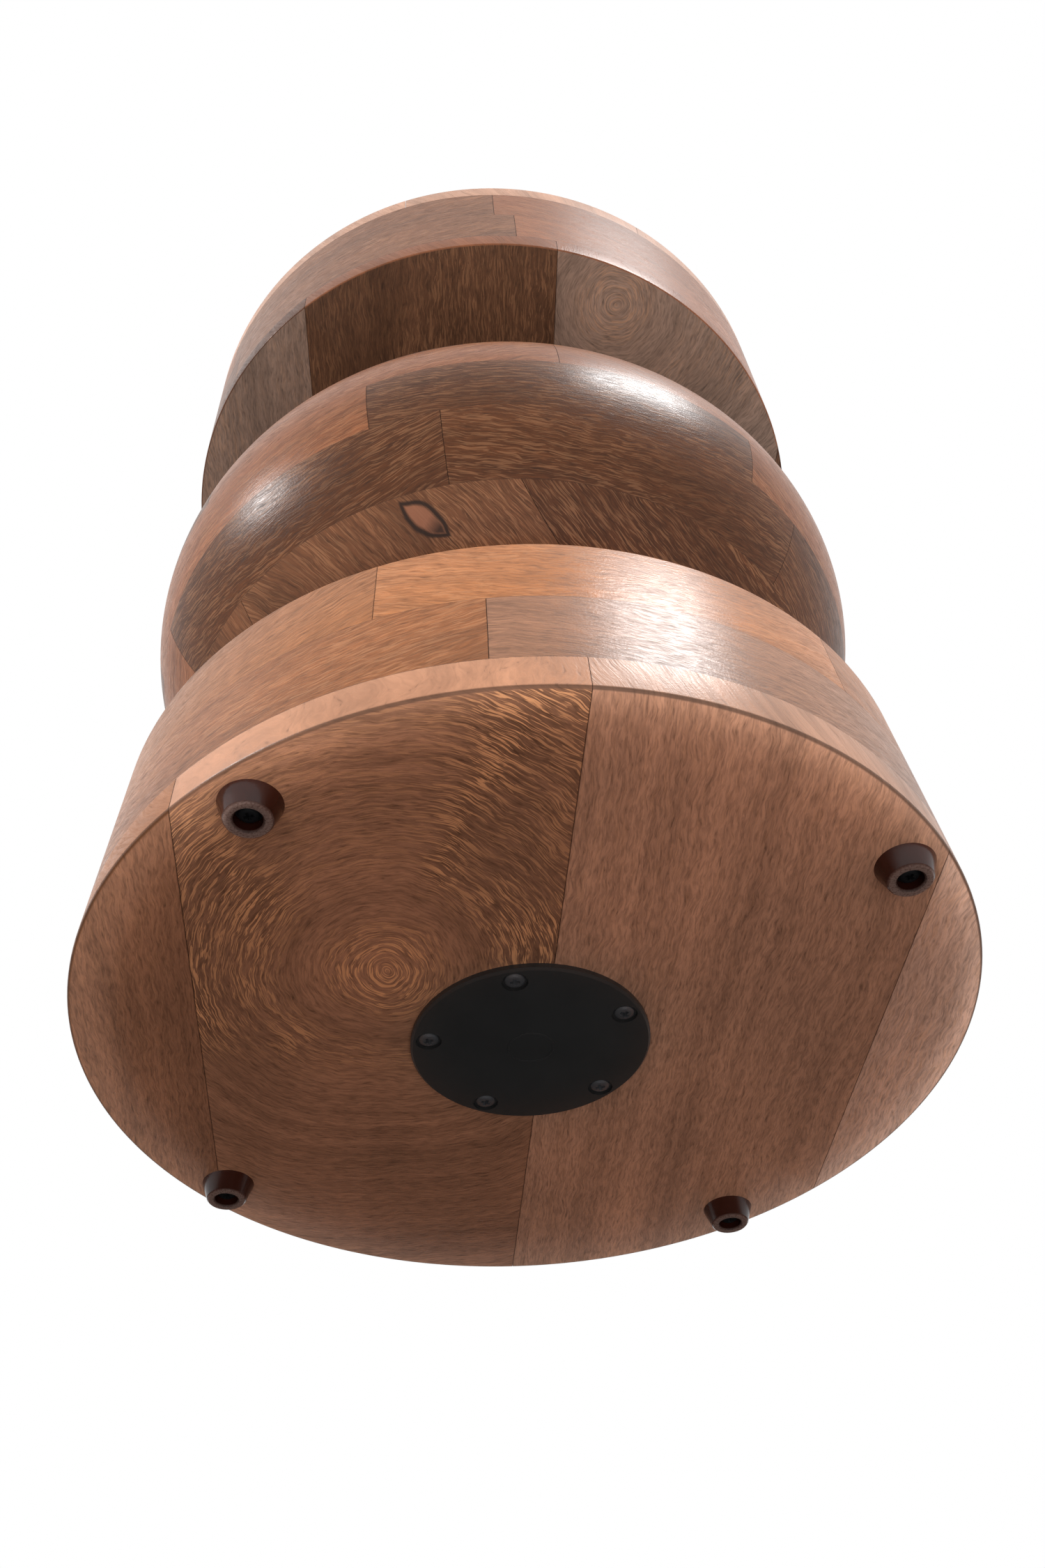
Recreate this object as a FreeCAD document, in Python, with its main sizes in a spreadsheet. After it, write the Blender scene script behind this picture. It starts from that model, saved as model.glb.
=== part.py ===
import FreeCAD, Part
import Sketcher
import os

# Tiered side table: a tapered base drum, a bullnosed middle drum and a straight top drum,
# stacked on two recessed necks and pulled together by one tie rod.
# Frame: the floor under the feet is z = 0, +Z is up and the drums turn about the Z axis.
# Lengths are millimetres and angles are degrees.

SIZES = (
    ("base_diameter", 400.0, "base drum across its lower rim"),
    ("base_taper", 6.0, "distance that the base drum's side leans in from its lower to its upper rim"),
    ("base_board", 19.0, "thickness of the base drum's bottom board"),
    ("base_ring_height", 42.0, "height of each of the base drum's two rings"),
    ("base_top_board", 18.0, "thickness of the board let into the base drum's top"),
    ("base_ledge", 12.0, "width of the ledge that carries the let-in board"),
    ("base_rim_ease", 1.6, "eased lower rim of the base drum"),
    ("base_top_ease", 1.5, "eased upper rim of the base drum"),
    ("access_hole", 76.0, "hole in the bottom board for reaching the tie rod's nut"),
    ("neck_diameter", 170.0, "neck block across"),
    ("neck_height", 57.0, "gap between two drums"),
    ("neck_ease", 1.5, "eased edges of a neck block"),
    ("mid_diameter", 398.0, "middle drum across its equator"),
    ("bullnose_radius", 105.0, "round of the middle drum's side, half of its height"),
    ("top_diameter", 395.0, "top drum across"),
    ("top_bottom_board", 13.5, "thickness of the top drum's bottom board"),
    ("top_ring_height", 35.5, "height of each of the top drum's two rings"),
    ("top_board", 14.5, "thickness of the table top"),
    ("top_lower_ease", 1.0, "eased lower edge of the top drum"),
    ("top_rim_ease", 2.0, "eased upper edge of the table top"),
    ("ring_wall", 34.0, "least wall of a segmented ring"),
    ("ring_segments", 6, "segments in one ring"),
    ("glue_line", 0.2, "gap held open by the glue between two pieces of wood"),
    ("board_fit", 0.2, "clearance round a let-in board"),
    ("base_lower_joint", 268.5, "direction of one butt joint in the base drum's lower ring"),
    ("base_upper_joint", 255.4, "the same in its upper ring"),
    ("mid_ring_1_joint", 263.4, "the same in the middle drum's rings, counted upwards"),
    ("mid_ring_2_joint", 252.8, "second ring"),
    ("mid_ring_3_joint", 281.0, "third ring"),
    ("mid_ring_4_joint", 267.0, "fourth ring"),
    ("top_lower_joint", 277.3, "the same in the top drum's lower ring"),
    ("top_upper_joint", 273.8, "the same in its upper ring"),
    ("plank_width", 151.0, "width of the planks that the boards are glued up from"),
    ("base_bottom_plank_angle", 7.0, "turn of the planks from the Y axis, base bottom board"),
    ("base_bottom_plank_shift", 6.0, "distance of one plank joint from the axis"),
    ("base_top_plank_angle", 12.0, "the same for the base drum's let-in board"),
    ("base_top_plank_shift", -60.0, "its joint"),
    ("mid_bottom_plank_angle", -32.0, "the same for the middle drum's bottom board"),
    ("mid_bottom_plank_shift", 103.0, "its joint"),
    ("mid_top_plank_angle", 18.0, "the same for the middle drum's top board"),
    ("mid_top_plank_shift", -40.0, "its joint"),
    ("top_bottom_plank_angle", 4.0, "the same for the top drum's bottom board"),
    ("top_bottom_plank_shift", 35.0, "its joint"),
    ("top_plank_angle", 9.0, "the same for the table top"),
    ("top_plank_shift", -72.0, "its joint"),
    ("rod_diameter", 12.0, "tie rod"),
    ("rod_clearance", 1.0, "hole for the rod less the rod"),
    ("rod_end", 5.0, "thread that stands past a nut"),
    ("nut_flats", 19.0, "tie rod nut across its flats"),
    ("nut_height", 10.0, "tie rod nut"),
    ("plate_washer_diameter", 60.0, "washer under a tie rod nut"),
    ("plate_washer_thickness", 4.0, "the same"),
    ("dowel_diameter", 10.0, "dowel between a neck and a drum"),
    ("dowel_length", 16.0, "the same, half of it in each piece"),
    ("dowel_inset", 25.0, "distance of the dowels from the neck's side"),
    ("dowel_count", 4, "dowels in one joint"),
    ("dowel_angle", 45.0, "direction of one dowel"),
    ("dowel_fit", 0.2, "dowel hole less the dowel"),
    ("dowel_end_gap", 0.5, "room for glue at each end of a dowel"),
    ("cover_lap", 15.5, "width by which the moulded cover reaches past the access hole"),
    ("cover_thickness", 3.2, "moulded cover"),
    ("cover_edge", 1.0, "its eased edge"),
    ("cover_fit", 0.5, "clearance of its locating rim in the access hole"),
    ("cover_rim_height", 6.0, "locating rim behind the cover"),
    ("cover_rim_wall", 2.0, "the same"),
    ("cover_recess_gap", 1.2, "gap round a screw head in its recess in the cover"),
    ("cover_recess_depth", 1.8, "depth of that recess"),
    ("cover_screw_inset", 7.7, "distance of the cover's screws from the access hole"),
    ("cover_screw_count", 5, "screws in the cover"),
    ("cover_screw_angle", -96.1, "direction of one of them"),
    ("cover_screw_head", 9.0, "head of a cover screw"),
    ("cover_screw_head_height", 1.8, "the same"),
    ("cover_screw_shank", 4.0, "its shank"),
    ("cover_screw_grip", 12.0, "its length in the wood"),
    ("foot_height", 9.0, "moulded foot"),
    ("foot_diameter", 25.0, "foot where it meets the board"),
    ("foot_end_diameter", 19.0, "foot at the floor"),
    ("foot_ease", 0.8, "rounded edges of the foot's end"),
    ("foot_bore", 11.0, "bore for the foot's screw head"),
    ("foot_seat", 3.2, "floor of that bore"),
    ("foot_inset", 18.0, "distance of a foot's centre from the base drum's rim"),
    ("foot_count", 4, "feet"),
    ("foot_angle", 57.8, "direction of one foot"),
    ("foot_washer_fit", 0.6, "foot's bore less the washer in it"),
    ("foot_washer_thickness", 1.0, "the washer"),
    ("foot_screw_head", 8.0, "head of a foot screw"),
    ("foot_screw_head_height", 2.6, "the same"),
    ("foot_screw_shank", 4.0, "its shank"),
    ("foot_screw_grip", 14.0, "its length in the wood"),
    ("screw_head_dome", 0.6, "rounding of a screw head's rim"),
    ("screw_fit", 0.2, "screw hole less the shank"),
    ("screw_tip_gap", 0.5, "room in front of a screw's tip"),
)

LAYERS_PER_HALF = 3  # layers of the middle drum below its equator, and as many above
TOUCH = 0.001  # two heights closer than this are the same
OVERRUN = 1.1  # length of a saw cut across a board, in widths of the board

doc = FreeCAD.newDocument("tiered_side_table")
sheet = doc.addObject("Spreadsheet::Sheet", "Size")
for row, (name, number, note) in enumerate(SIZES, start=1):
    sheet.set("A%d" % row, name)
    sheet.set("B%d" % row, str(number))
    sheet.set("C%d" % row, note)
    sheet.setAlias("B%d" % row, name)
doc.recompute()

# Heights of the stack, from the floor up
BASE = "Size.foot_height"
BASE_LOWER_RING = BASE + " + Size.base_board"
BASE_UPPER_RING = BASE_LOWER_RING + " + Size.base_ring_height"
LOWER_NECK = BASE_UPPER_RING + " + Size.base_ring_height"
MIDDLE = LOWER_NECK + " + Size.neck_height"
UPPER_NECK = MIDDLE + " + 2 * Size.bullnose_radius"
TOP = UPPER_NECK + " + Size.neck_height"
TOP_LOWER_RING = TOP + " + Size.top_bottom_board"
TOP_UPPER_RING = TOP_LOWER_RING + " + Size.top_ring_height"
TABLE_TOP = TOP_UPPER_RING + " + Size.top_ring_height"

ROD_HOLE = "(Size.rod_diameter + Size.rod_clearance) / 2"
DOWEL_DEPTH = "Size.dowel_length / 2 + Size.dowel_end_gap"

# What is spread round the axis: distance from it, count and direction of the first
DOWELS = ("Size.neck_diameter / 2 - Size.dowel_inset", "Size.dowel_count", "Size.dowel_angle")
COVER_SCREWS = ("Size.access_hole / 2 + Size.cover_screw_inset", "Size.cover_screw_count",
                "Size.cover_screw_angle")
FEET = ("Size.base_diameter / 2 - Size.foot_inset", "Size.foot_count", "Size.foot_angle")

parts = []


def value(expression):
    """Number that an expression of the sheet's names gives."""
    return float(sheet.evalExpression(expression))


def origin_feature(body, role):
    """One of a body's own planes or axes."""
    return next(feature for feature in body.Origin.OriginFeatures if feature.Role == role)


def new_body(label):
    """A piece of the table, which may hold several solids glued side by side."""
    body = doc.addObject("PartDesign::Body", label)
    body.Label = label
    body.AllowCompound = True
    parts.append(body)
    return body


def new_sketch(body, name, plane, lift="0"):
    """A sketch on one of the body's own planes, lifted along its normal."""
    sketch = body.newObject("Sketcher::SketchObject", body.Name + "_" + name)
    sketch.AttachmentSupport = (origin_feature(body, plane), [""])
    sketch.MapMode = "FlatFace"
    sketch.AttachmentOffset = FreeCAD.Placement(FreeCAD.Vector(0, 0, value(lift)), FreeCAD.Rotation())
    sketch.setExpression("AttachmentOffset.Base.z", lift)
    return sketch


def lock(sketch, direction, edge, point, expression):
    """Hold one coordinate of a point, on the axis itself where it is zero."""
    if expression == "0":
        axis = -2 if direction == "DistanceX" else -1
        sketch.addConstraint(Sketcher.Constraint("PointOnObject", edge, point, axis))
        return
    rule = sketch.addConstraint(Sketcher.Constraint(direction, edge, point, value(expression)))
    sketch.setExpression("Constraints[%d]" % rule, expression)


def draw_outline(sketch, corners):
    """A closed outline of straight edges through corners given as pairs of expressions."""
    points = [FreeCAD.Vector(value(x), value(y), 0) for x, y in corners]
    first = sketch.GeometryCount
    count = len(points)
    for i in range(count):
        sketch.addGeometry(Part.LineSegment(points[i], points[(i + 1) % count]), False)
    for i, (x, y) in enumerate(corners):
        after = first + (i + 1) % count
        sketch.addConstraint(Sketcher.Constraint("Coincident", first + i, 2, after, 1))
        lock(sketch, "DistanceX", first + i, 1, x)
        lock(sketch, "DistanceY", first + i, 1, y)


def draw_circles(sketch, spots, diameter, turned="0"):
    """Equal circles spread round the axis, in a body that is itself turned about it."""
    reach, count, angle = spots
    for i in range(int(value(count))):
        direction = "%s - (%s) + 360 * %d / %s" % (angle, turned, i, count)
        x = "(%s) * cos(%s)" % (reach, direction)
        y = "(%s) * sin(%s)" % (reach, direction)
        centre = FreeCAD.Vector(value(x), value(y), 0)
        round_edge = Part.Circle(centre, FreeCAD.Vector(0, 0, 1), value(diameter) / 2)
        edge = sketch.addGeometry(round_edge, False)
        lock(sketch, "DistanceX", edge, 3, x)
        lock(sketch, "DistanceY", edge, 3, y)
        rule = sketch.addConstraint(Sketcher.Constraint("Diameter", edge, value(diameter)))
        sketch.setExpression("Constraints[%d]" % rule, diameter)


def draw_bullnose(sketch, inner, bottom, top):
    """Section of one layer of the middle drum: its outer side is part of the bullnose arc."""
    reach = "Size.mid_diameter / 2 - Size.bullnose_radius"
    radius = value("Size.bullnose_radius")
    centre = FreeCAD.Vector(value(reach), radius, 0)

    def on_arc(height):
        drop = value(height) - radius
        return FreeCAD.Vector(centre.x + max(radius ** 2 - drop ** 2, 0.0) ** 0.5, value(height), 0)

    low_out, high_out = on_arc(bottom), on_arc(top)
    low_in = FreeCAD.Vector(value(inner), value(bottom), 0)
    high_in = FreeCAD.Vector(value(inner), value(top), 0)
    circle = Part.Circle(centre, FreeCAD.Vector(0, 0, 1), radius)
    sketch.addGeometry(Part.LineSegment(low_in, low_out), False)
    sketch.addGeometry(Part.ArcOfCircle(circle, circle.parameter(low_out), circle.parameter(high_out)), False)
    sketch.addGeometry(Part.LineSegment(high_out, high_in), False)
    sketch.addGeometry(Part.LineSegment(high_in, low_in), False)
    for edge in range(4):
        sketch.addConstraint(Sketcher.Constraint("Coincident", edge, 2, (edge + 1) % 4, 1))
    # Where the arc runs out into a flat face its end is held by its radius instead of its height.
    for face, end, flat in ((0, 1, bottom), (2, 2, top)):
        if abs(abs(value(flat) - radius) - radius) < TOUCH:
            lock(sketch, "DistanceX", 1, end, reach)
        else:
            sketch.addConstraint(Sketcher.Constraint("Horizontal", face))
    sketch.addConstraint(Sketcher.Constraint("Vertical", 3))
    lock(sketch, "DistanceX", 0, 1, inner)
    lock(sketch, "DistanceY", 0, 1, bottom)
    lock(sketch, "DistanceY", 3, 1, top)
    lock(sketch, "DistanceX", 1, 3, reach)
    lock(sketch, "DistanceY", 1, 3, "Size.bullnose_radius")
    rule = sketch.addConstraint(Sketcher.Constraint("Radius", 1, radius))
    sketch.setExpression("Constraints[%d]" % rule, "Size.bullnose_radius")


def turn(body, sketch, angle="360", axis="V_Axis"):
    """Turn a section about an upright axis of its sketch."""
    feature = body.newObject("PartDesign::Revolution", body.Name + "_turned")
    feature.Profile = sketch
    feature.ReferenceAxis = (sketch, [axis])
    feature.setExpression("Angle", angle)
    body.Tip = feature
    doc.recompute()
    return feature


def spread(body, feature, count):
    """Repeat a feature evenly round the body's upright axis."""
    pattern = body.newObject("PartDesign::PolarPattern", body.Name + "_round")
    pattern.Originals = [feature]
    pattern.Axis = (origin_feature(body, "Z_Axis"), [""])
    pattern.Angle = 360
    pattern.setExpression("Occurrences", count)
    body.Tip = pattern
    doc.recompute()


def cut(body, sketch, depth, upward=True):
    """Cut a sketch into the body, and make sure that it took wood away."""
    before = body.Shape.Volume
    feature = body.newObject("PartDesign::Pocket", sketch.Name + "_cut")
    feature.Profile = sketch
    feature.Type = "Length"
    feature.setExpression("Length", depth)
    feature.Reversed = upward
    body.Tip = feature
    doc.recompute()
    if not body.Shape.Volume < before:
        raise RuntimeError(feature.Name + " cuts nothing")


def seat(piece, height, angle="0"):
    """Set a piece on the axis at its height in the stack, turned about the axis."""
    turned = FreeCAD.Rotation(FreeCAD.Vector(0, 0, 1), value(angle))
    piece.Placement = FreeCAD.Placement(FreeCAD.Vector(0, 0, value(height)), turned)
    piece.setExpression("Placement.Base.z", height)
    piece.setExpression("Placement.Rotation.Angle", angle)


def drill(body, name, spots, diameter, depth, turned="0", lift="0", upward=True):
    """Round holes spread about the axis, from one face of the body."""
    sketch = new_sketch(body, name, "XY_Plane", lift)
    draw_circles(sketch, spots, diameter, turned)
    cut(body, sketch, depth, upward)


def drill_dowel_holes(body, name="dowel_holes", turned="0", lift="0", upward=True):
    """Holes for one joint's dowels."""
    drill(body, name, DOWELS, "Size.dowel_diameter + Size.dowel_fit", DOWEL_DEPTH, turned, lift, upward)


def drill_screw_holes(body, spots, kind, turned):
    """Holes for one kind of screw, from below."""
    drill(body, kind + "_screw_holes", spots, "Size.%s_screw_shank + Size.screw_fit" % kind,
          "Size.%s_screw_grip + Size.screw_tip_gap" % kind, turned)


def saw_planks(body, shift, radius, thickness):
    """Saw a disc into edge-glued planks along the body's Y axis."""
    sketch = new_sketch(body, "glue_lines", "XY_Plane")
    reach = value(radius)
    width = value("Size.plank_width")
    steps = int(2 * reach / width) + 1
    for step in range(-steps, steps + 1):
        if abs(value(shift) + step * width) > reach - value("Size.ring_wall"):
            continue
        left = "%s + %d * Size.plank_width - Size.glue_line / 2" % (shift, step)
        right = "%s + %d * Size.plank_width + Size.glue_line / 2" % (shift, step)
        far = "(%s) * %s" % (radius, OVERRUN)
        near = "-(%s)" % far
        draw_outline(sketch, [(left, near), (right, near), (right, far), (left, far)])
    cut(body, sketch, thickness)


def joint_gap(radius):
    """Angle that a glue line takes at a radius."""
    return "Size.glue_line / (%s) * 180 / pi" % radius


def base_radius(height):
    """Radius of the base drum's tapered side at a height above its bottom face."""
    full = "(Size.base_board + 2 * Size.base_ring_height)"
    return "Size.base_diameter / 2 - Size.base_taper * (%s) / %s" % (height, full)


# Turned blocks, boards and rings

def make_ring(label, height, corners, joint, mean_radius):
    """A ring of butt-jointed segments with a straight-sided section."""
    body = new_body(label)
    sketch = new_sketch(body, "section", "XZ_Plane")
    draw_outline(sketch, corners)
    segment = turn(body, sketch, "360 / Size.ring_segments - " + joint_gap(mean_radius))
    spread(body, segment, "Size.ring_segments")
    seat(body, height, joint)
    return body


def make_board(label, height, corners, planks, radius, thickness):
    """A round board glued up from planks."""
    body = new_body(label)
    sketch = new_sketch(body, "section", "XZ_Plane")
    draw_outline(sketch, corners)
    turn(body, sketch)
    saw_planks(body, planks + "_shift", radius, thickness)
    seat(body, height, planks + "_angle")
    return body


def make_base_drum():
    """Bottom board, two tapered rings and the board let into the top."""
    floor_radius = base_radius("0")
    seam_radius = base_radius("Size.base_board")
    board = make_board("base_bottom_board", BASE, [
        ("Size.access_hole / 2", "0"),
        (floor_radius + " - Size.base_rim_ease", "0"),
        (base_radius("Size.base_rim_ease"), "Size.base_rim_ease"),
        (seam_radius, "Size.base_board"),
        ("Size.access_hole / 2", "Size.base_board"),
    ], "Size.base_bottom_plank", floor_radius, "Size.base_board")
    drill_screw_holes(board, COVER_SCREWS, "cover", "Size.base_bottom_plank_angle")
    drill_screw_holes(board, FEET, "foot", "Size.base_bottom_plank_angle")

    rim = "Size.base_diameter / 2 - Size.base_taper"
    inner = rim + " - Size.ring_wall"
    middle_seam = base_radius("Size.base_board + Size.base_ring_height")
    make_ring("base_lower_ring", BASE_LOWER_RING, [
        (inner, "0"),
        (seam_radius, "0"),
        (middle_seam, "Size.base_ring_height"),
        (inner, "Size.base_ring_height"),
    ], "Size.base_lower_joint", middle_seam)

    ledge = "Size.base_ring_height - Size.base_top_board"
    socket = inner + " + Size.base_ledge"
    eased = base_radius("Size.base_board + 2 * Size.base_ring_height - Size.base_top_ease")
    make_ring("base_upper_ring", BASE_UPPER_RING, [
        (inner, "0"),
        (middle_seam, "0"),
        (eased, "Size.base_ring_height - Size.base_top_ease"),
        (rim + " - Size.base_top_ease", "Size.base_ring_height"),
        (socket, "Size.base_ring_height"),
        (socket, ledge),
        (inner, ledge),
    ], "Size.base_upper_joint", middle_seam)

    disc = socket + " - Size.board_fit"
    lid = make_board("base_top_board", LOWER_NECK + " - Size.base_top_board", [
        (ROD_HOLE, "0"),
        (disc, "0"),
        (disc, "Size.base_top_board"),
        (ROD_HOLE, "Size.base_top_board"),
    ], "Size.base_top_plank", disc, "Size.base_top_board")
    drill_dowel_holes(lid, turned="Size.base_top_plank_angle", lift="Size.base_top_board", upward=False)


def make_neck(label, height):
    """A turned block between two drums, with a hole for the rod and for dowels at both ends."""
    body = new_body(label)
    sketch = new_sketch(body, "section", "XZ_Plane")
    draw_outline(sketch, [
        (ROD_HOLE, "0"),
        ("Size.neck_diameter / 2 - Size.neck_ease", "0"),
        ("Size.neck_diameter / 2", "Size.neck_ease"),
        ("Size.neck_diameter / 2", "Size.neck_height - Size.neck_ease"),
        ("Size.neck_diameter / 2 - Size.neck_ease", "Size.neck_height"),
        (ROD_HOLE, "Size.neck_height"),
    ])
    turn(body, sketch)
    drill_dowel_holes(body, "lower_dowel_holes")
    drill_dowel_holes(body, "upper_dowel_holes", lift="Size.neck_height", upward=False)
    seat(body, height)


def make_middle_drum():
    """Six turned layers that together make one bullnose: a board, four rings and a board."""
    layer = "Size.bullnose_radius / %d" % LAYERS_PER_HALF
    last = 2 * LAYERS_PER_HALF - 1
    reach = "Size.mid_diameter / 2 - Size.bullnose_radius"
    for index in range(last + 1):
        bottom = "%d * %s" % (index, layer) if index else "0"
        top = "%d * %s" % (index + 1, layer)
        if index in (0, last):
            name = "bottom" if index == 0 else "top"
            planks = "Size.mid_%s_plank" % name
            body = new_body("mid_%s_board" % name)
            sketch = new_sketch(body, "section", "XZ_Plane")
            draw_bullnose(sketch, ROD_HOLE, bottom, top)
            turn(body, sketch)
            saw_planks(body, planks + "_shift", "Size.mid_diameter / 2", "2 * Size.bullnose_radius")
            face = "0" if index == 0 else "2 * Size.bullnose_radius"
            drill_dowel_holes(body, turned=planks + "_angle", lift=face, upward=index == 0)
            seat(body, MIDDLE, planks + "_angle")
        else:
            # The ring's narrower face is the one further from the equator.
            away = max(LAYERS_PER_HALF - index, index + 1 - LAYERS_PER_HALF)
            narrow = "%s + sqrt(Size.bullnose_radius ^ 2 - (%d * %s) ^ 2)" % (reach, away, layer)
            body = new_body("mid_ring_%d" % index)
            sketch = new_sketch(body, "section", "XZ_Plane")
            draw_bullnose(sketch, narrow + " - Size.ring_wall", bottom, top)
            segment = turn(body, sketch, "360 / Size.ring_segments - " + joint_gap("Size.mid_diameter / 2"))
            spread(body, segment, "Size.ring_segments")
            seat(body, MIDDLE, "Size.mid_ring_%d_joint" % index)


def make_top_drum():
    """Bottom board, two straight rings and the table top."""
    radius = "Size.top_diameter / 2"
    board = make_board("top_bottom_board", TOP, [
        (ROD_HOLE, "0"),
        (radius + " - Size.top_lower_ease", "0"),
        (radius, "Size.top_lower_ease"),
        (radius, "Size.top_bottom_board"),
        (ROD_HOLE, "Size.top_bottom_board"),
    ], "Size.top_bottom_plank", radius, "Size.top_bottom_board")
    drill_dowel_holes(board, turned="Size.top_bottom_plank_angle")

    inner = radius + " - Size.ring_wall"
    for name, height in (("lower", TOP_LOWER_RING), ("upper", TOP_UPPER_RING)):
        make_ring("top_%s_ring" % name, height, [
            (inner, "0"),
            (radius, "0"),
            (radius, "Size.top_ring_height"),
            (inner, "Size.top_ring_height"),
        ], "Size.top_%s_joint" % name, radius)

    make_board("table_top", TABLE_TOP, [
        ("0", "0"),
        (radius, "0"),
        (radius, "Size.top_board - Size.top_rim_ease"),
        (radius + " - Size.top_rim_ease", "Size.top_board"),
        ("0", "Size.top_board"),
    ], "Size.top_plank", radius, "Size.top_board")


# Hidden hardware that holds the stack together

def make_dowels(label, joint_height):
    """Dowels that stand half in each of two pieces."""
    body = new_body(label)
    sketch = new_sketch(body, "ends", "XY_Plane")
    draw_circles(sketch, DOWELS, "Size.dowel_diameter")
    feature = body.newObject("PartDesign::Pad", label + "_length")
    feature.Profile = sketch
    feature.setExpression("Length", "Size.dowel_length")
    body.Tip = feature
    seat(body, "%s - Size.dowel_length / 2" % joint_height)


def make_plate_washer(label, height):
    """A round washer under one of the tie rod's nuts."""
    body = new_body(label)
    sketch = new_sketch(body, "section", "XZ_Plane")
    draw_outline(sketch, [
        (ROD_HOLE, "0"),
        ("Size.plate_washer_diameter / 2", "0"),
        ("Size.plate_washer_diameter / 2", "Size.plate_washer_thickness"),
        (ROD_HOLE, "Size.plate_washer_thickness"),
    ])
    turn(body, sketch)
    seat(body, height)


def make_nut(label, height):
    """A hexagon nut on the tie rod."""
    block = doc.addObject("Part::Prism", label + "_block")
    block.Polygon = 6
    block.setExpression("Circumradius", "Size.nut_flats / sqrt(3)")
    block.setExpression("Height", "Size.nut_height")
    hole = doc.addObject("Part::Cylinder", label + "_hole")
    hole.setExpression("Radius", "Size.rod_diameter / 2")
    hole.setExpression("Height", "Size.nut_height")
    nut = doc.addObject("Part::Cut", label)
    nut.Label = label
    nut.Base = block
    nut.Tool = hole
    seat(nut, height)
    parts.append(nut)


def make_tie_rod():
    """The rod from the base drum's let-in board to the top drum's bottom board, nuts and washers."""
    low_face = LOWER_NECK + " - Size.base_top_board"
    high_face = TOP_LOWER_RING
    fitting = "Size.plate_washer_thickness + Size.nut_height"
    make_plate_washer("lower_plate_washer", low_face + " - Size.plate_washer_thickness")
    make_nut("lower_nut", "%s - (%s)" % (low_face, fitting))
    make_plate_washer("upper_plate_washer", high_face)
    make_nut("upper_nut", high_face + " + Size.plate_washer_thickness")
    rod = doc.addObject("Part::Cylinder", "tie_rod")
    rod.Label = "tie_rod"
    rod.setExpression("Radius", "Size.rod_diameter / 2")
    clamped = "(%s) - (%s)" % (high_face, low_face)
    rod.setExpression("Height", "%s + 2 * (%s + Size.rod_end)" % (clamped, fitting))
    seat(rod, "%s - (%s + Size.rod_end)" % (low_face, fitting))
    parts.append(rod)


# Cover, feet and their screws

def make_cover():
    """Moulded cover over the access hole, with a locating rim and a recess for each screw."""
    body = new_body("cover_plate")
    sketch = new_sketch(body, "section", "XZ_Plane")
    outer = "Size.access_hole / 2 + Size.cover_lap"
    rim = "Size.access_hole / 2 - Size.cover_fit"
    rim_top = "Size.cover_thickness + Size.cover_rim_height"
    draw_outline(sketch, [
        ("0", "0"),
        (outer + " - Size.cover_edge", "0"),
        (outer, "Size.cover_edge"),
        (outer, "Size.cover_thickness"),
        (rim, "Size.cover_thickness"),
        (rim, rim_top),
        (rim + " - Size.cover_rim_wall", rim_top),
        (rim + " - Size.cover_rim_wall", "Size.cover_thickness"),
        ("0", "Size.cover_thickness"),
    ])
    turn(body, sketch)
    recess = "Size.cover_screw_head + 2 * Size.cover_recess_gap"
    shank_hole = "Size.cover_screw_shank + Size.screw_fit"
    drill(body, "recesses", COVER_SCREWS, recess, "Size.cover_recess_depth")
    drill(body, "shank_holes", COVER_SCREWS, shank_hole, "Size.cover_thickness")
    seat(body, BASE + " - Size.cover_thickness")


def make_screws(label, spots, kind, seat_height, clamped):
    """Round-headed screws driven upwards through what they clamp, spread round the axis."""
    axis, count, angle = spots
    body = new_body(label)
    head = "%s + Size.%s_screw_head / 2" % (axis, kind)
    shank = "%s + Size.%s_screw_shank / 2" % (axis, kind)
    head_height = "Size.%s_screw_head_height" % kind
    tip = "%s + Size.%s_screw_grip" % (clamped, kind)
    sketch = new_sketch(body, "section", "XZ_Plane")
    draw_outline(sketch, [
        (axis, "-(%s)" % head_height),
        (head + " - Size.screw_head_dome", "-(%s)" % head_height),
        (head, "Size.screw_head_dome - " + head_height),
        (head, "0"),
        (shank, "0"),
        (shank, "%s - Size.%s_screw_shank / 2" % (tip, kind)),
        (axis, tip),
    ])
    low = FreeCAD.Vector(value(axis), 0, 0)
    high = FreeCAD.Vector(value(axis), value(tip), 0)
    line = sketch.addGeometry(Part.LineSegment(low, high), True)
    lock(sketch, "DistanceX", line, 1, axis)
    lock(sketch, "DistanceY", line, 1, "0")
    lock(sketch, "DistanceX", line, 2, axis)
    lock(sketch, "DistanceY", line, 2, tip)
    screw = turn(body, sketch, axis="Axis0")
    spread(body, screw, count)
    seat(body, seat_height, angle)


def make_foot(index):
    """A moulded conical foot with a bore for its washer and screw head."""
    body = new_body("foot_%d" % (index + 1))
    sketch = new_sketch(body, "section", "XZ_Plane")
    screw_hole = "(Size.foot_screw_shank + Size.screw_fit) / 2"
    seat_height = "Size.foot_height - Size.foot_seat"
    draw_outline(sketch, [
        ("Size.foot_bore / 2 + Size.foot_ease", "0"),
        ("Size.foot_end_diameter / 2 - Size.foot_ease", "0"),
        ("Size.foot_end_diameter / 2", "Size.foot_ease"),
        ("Size.foot_diameter / 2", "Size.foot_height"),
        (screw_hole, "Size.foot_height"),
        (screw_hole, seat_height),
        ("Size.foot_bore / 2", seat_height),
        ("Size.foot_bore / 2", "Size.foot_ease"),
    ])
    turn(body, sketch)
    reach, count, angle = FEET
    direction = "%s + 360 * %d / %s" % (angle, index, count)
    seat(body, "0")
    body.setExpression("Placement.Base.x", "(%s) * cos(%s)" % (reach, direction))
    body.setExpression("Placement.Base.y", "(%s) * sin(%s)" % (reach, direction))


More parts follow.
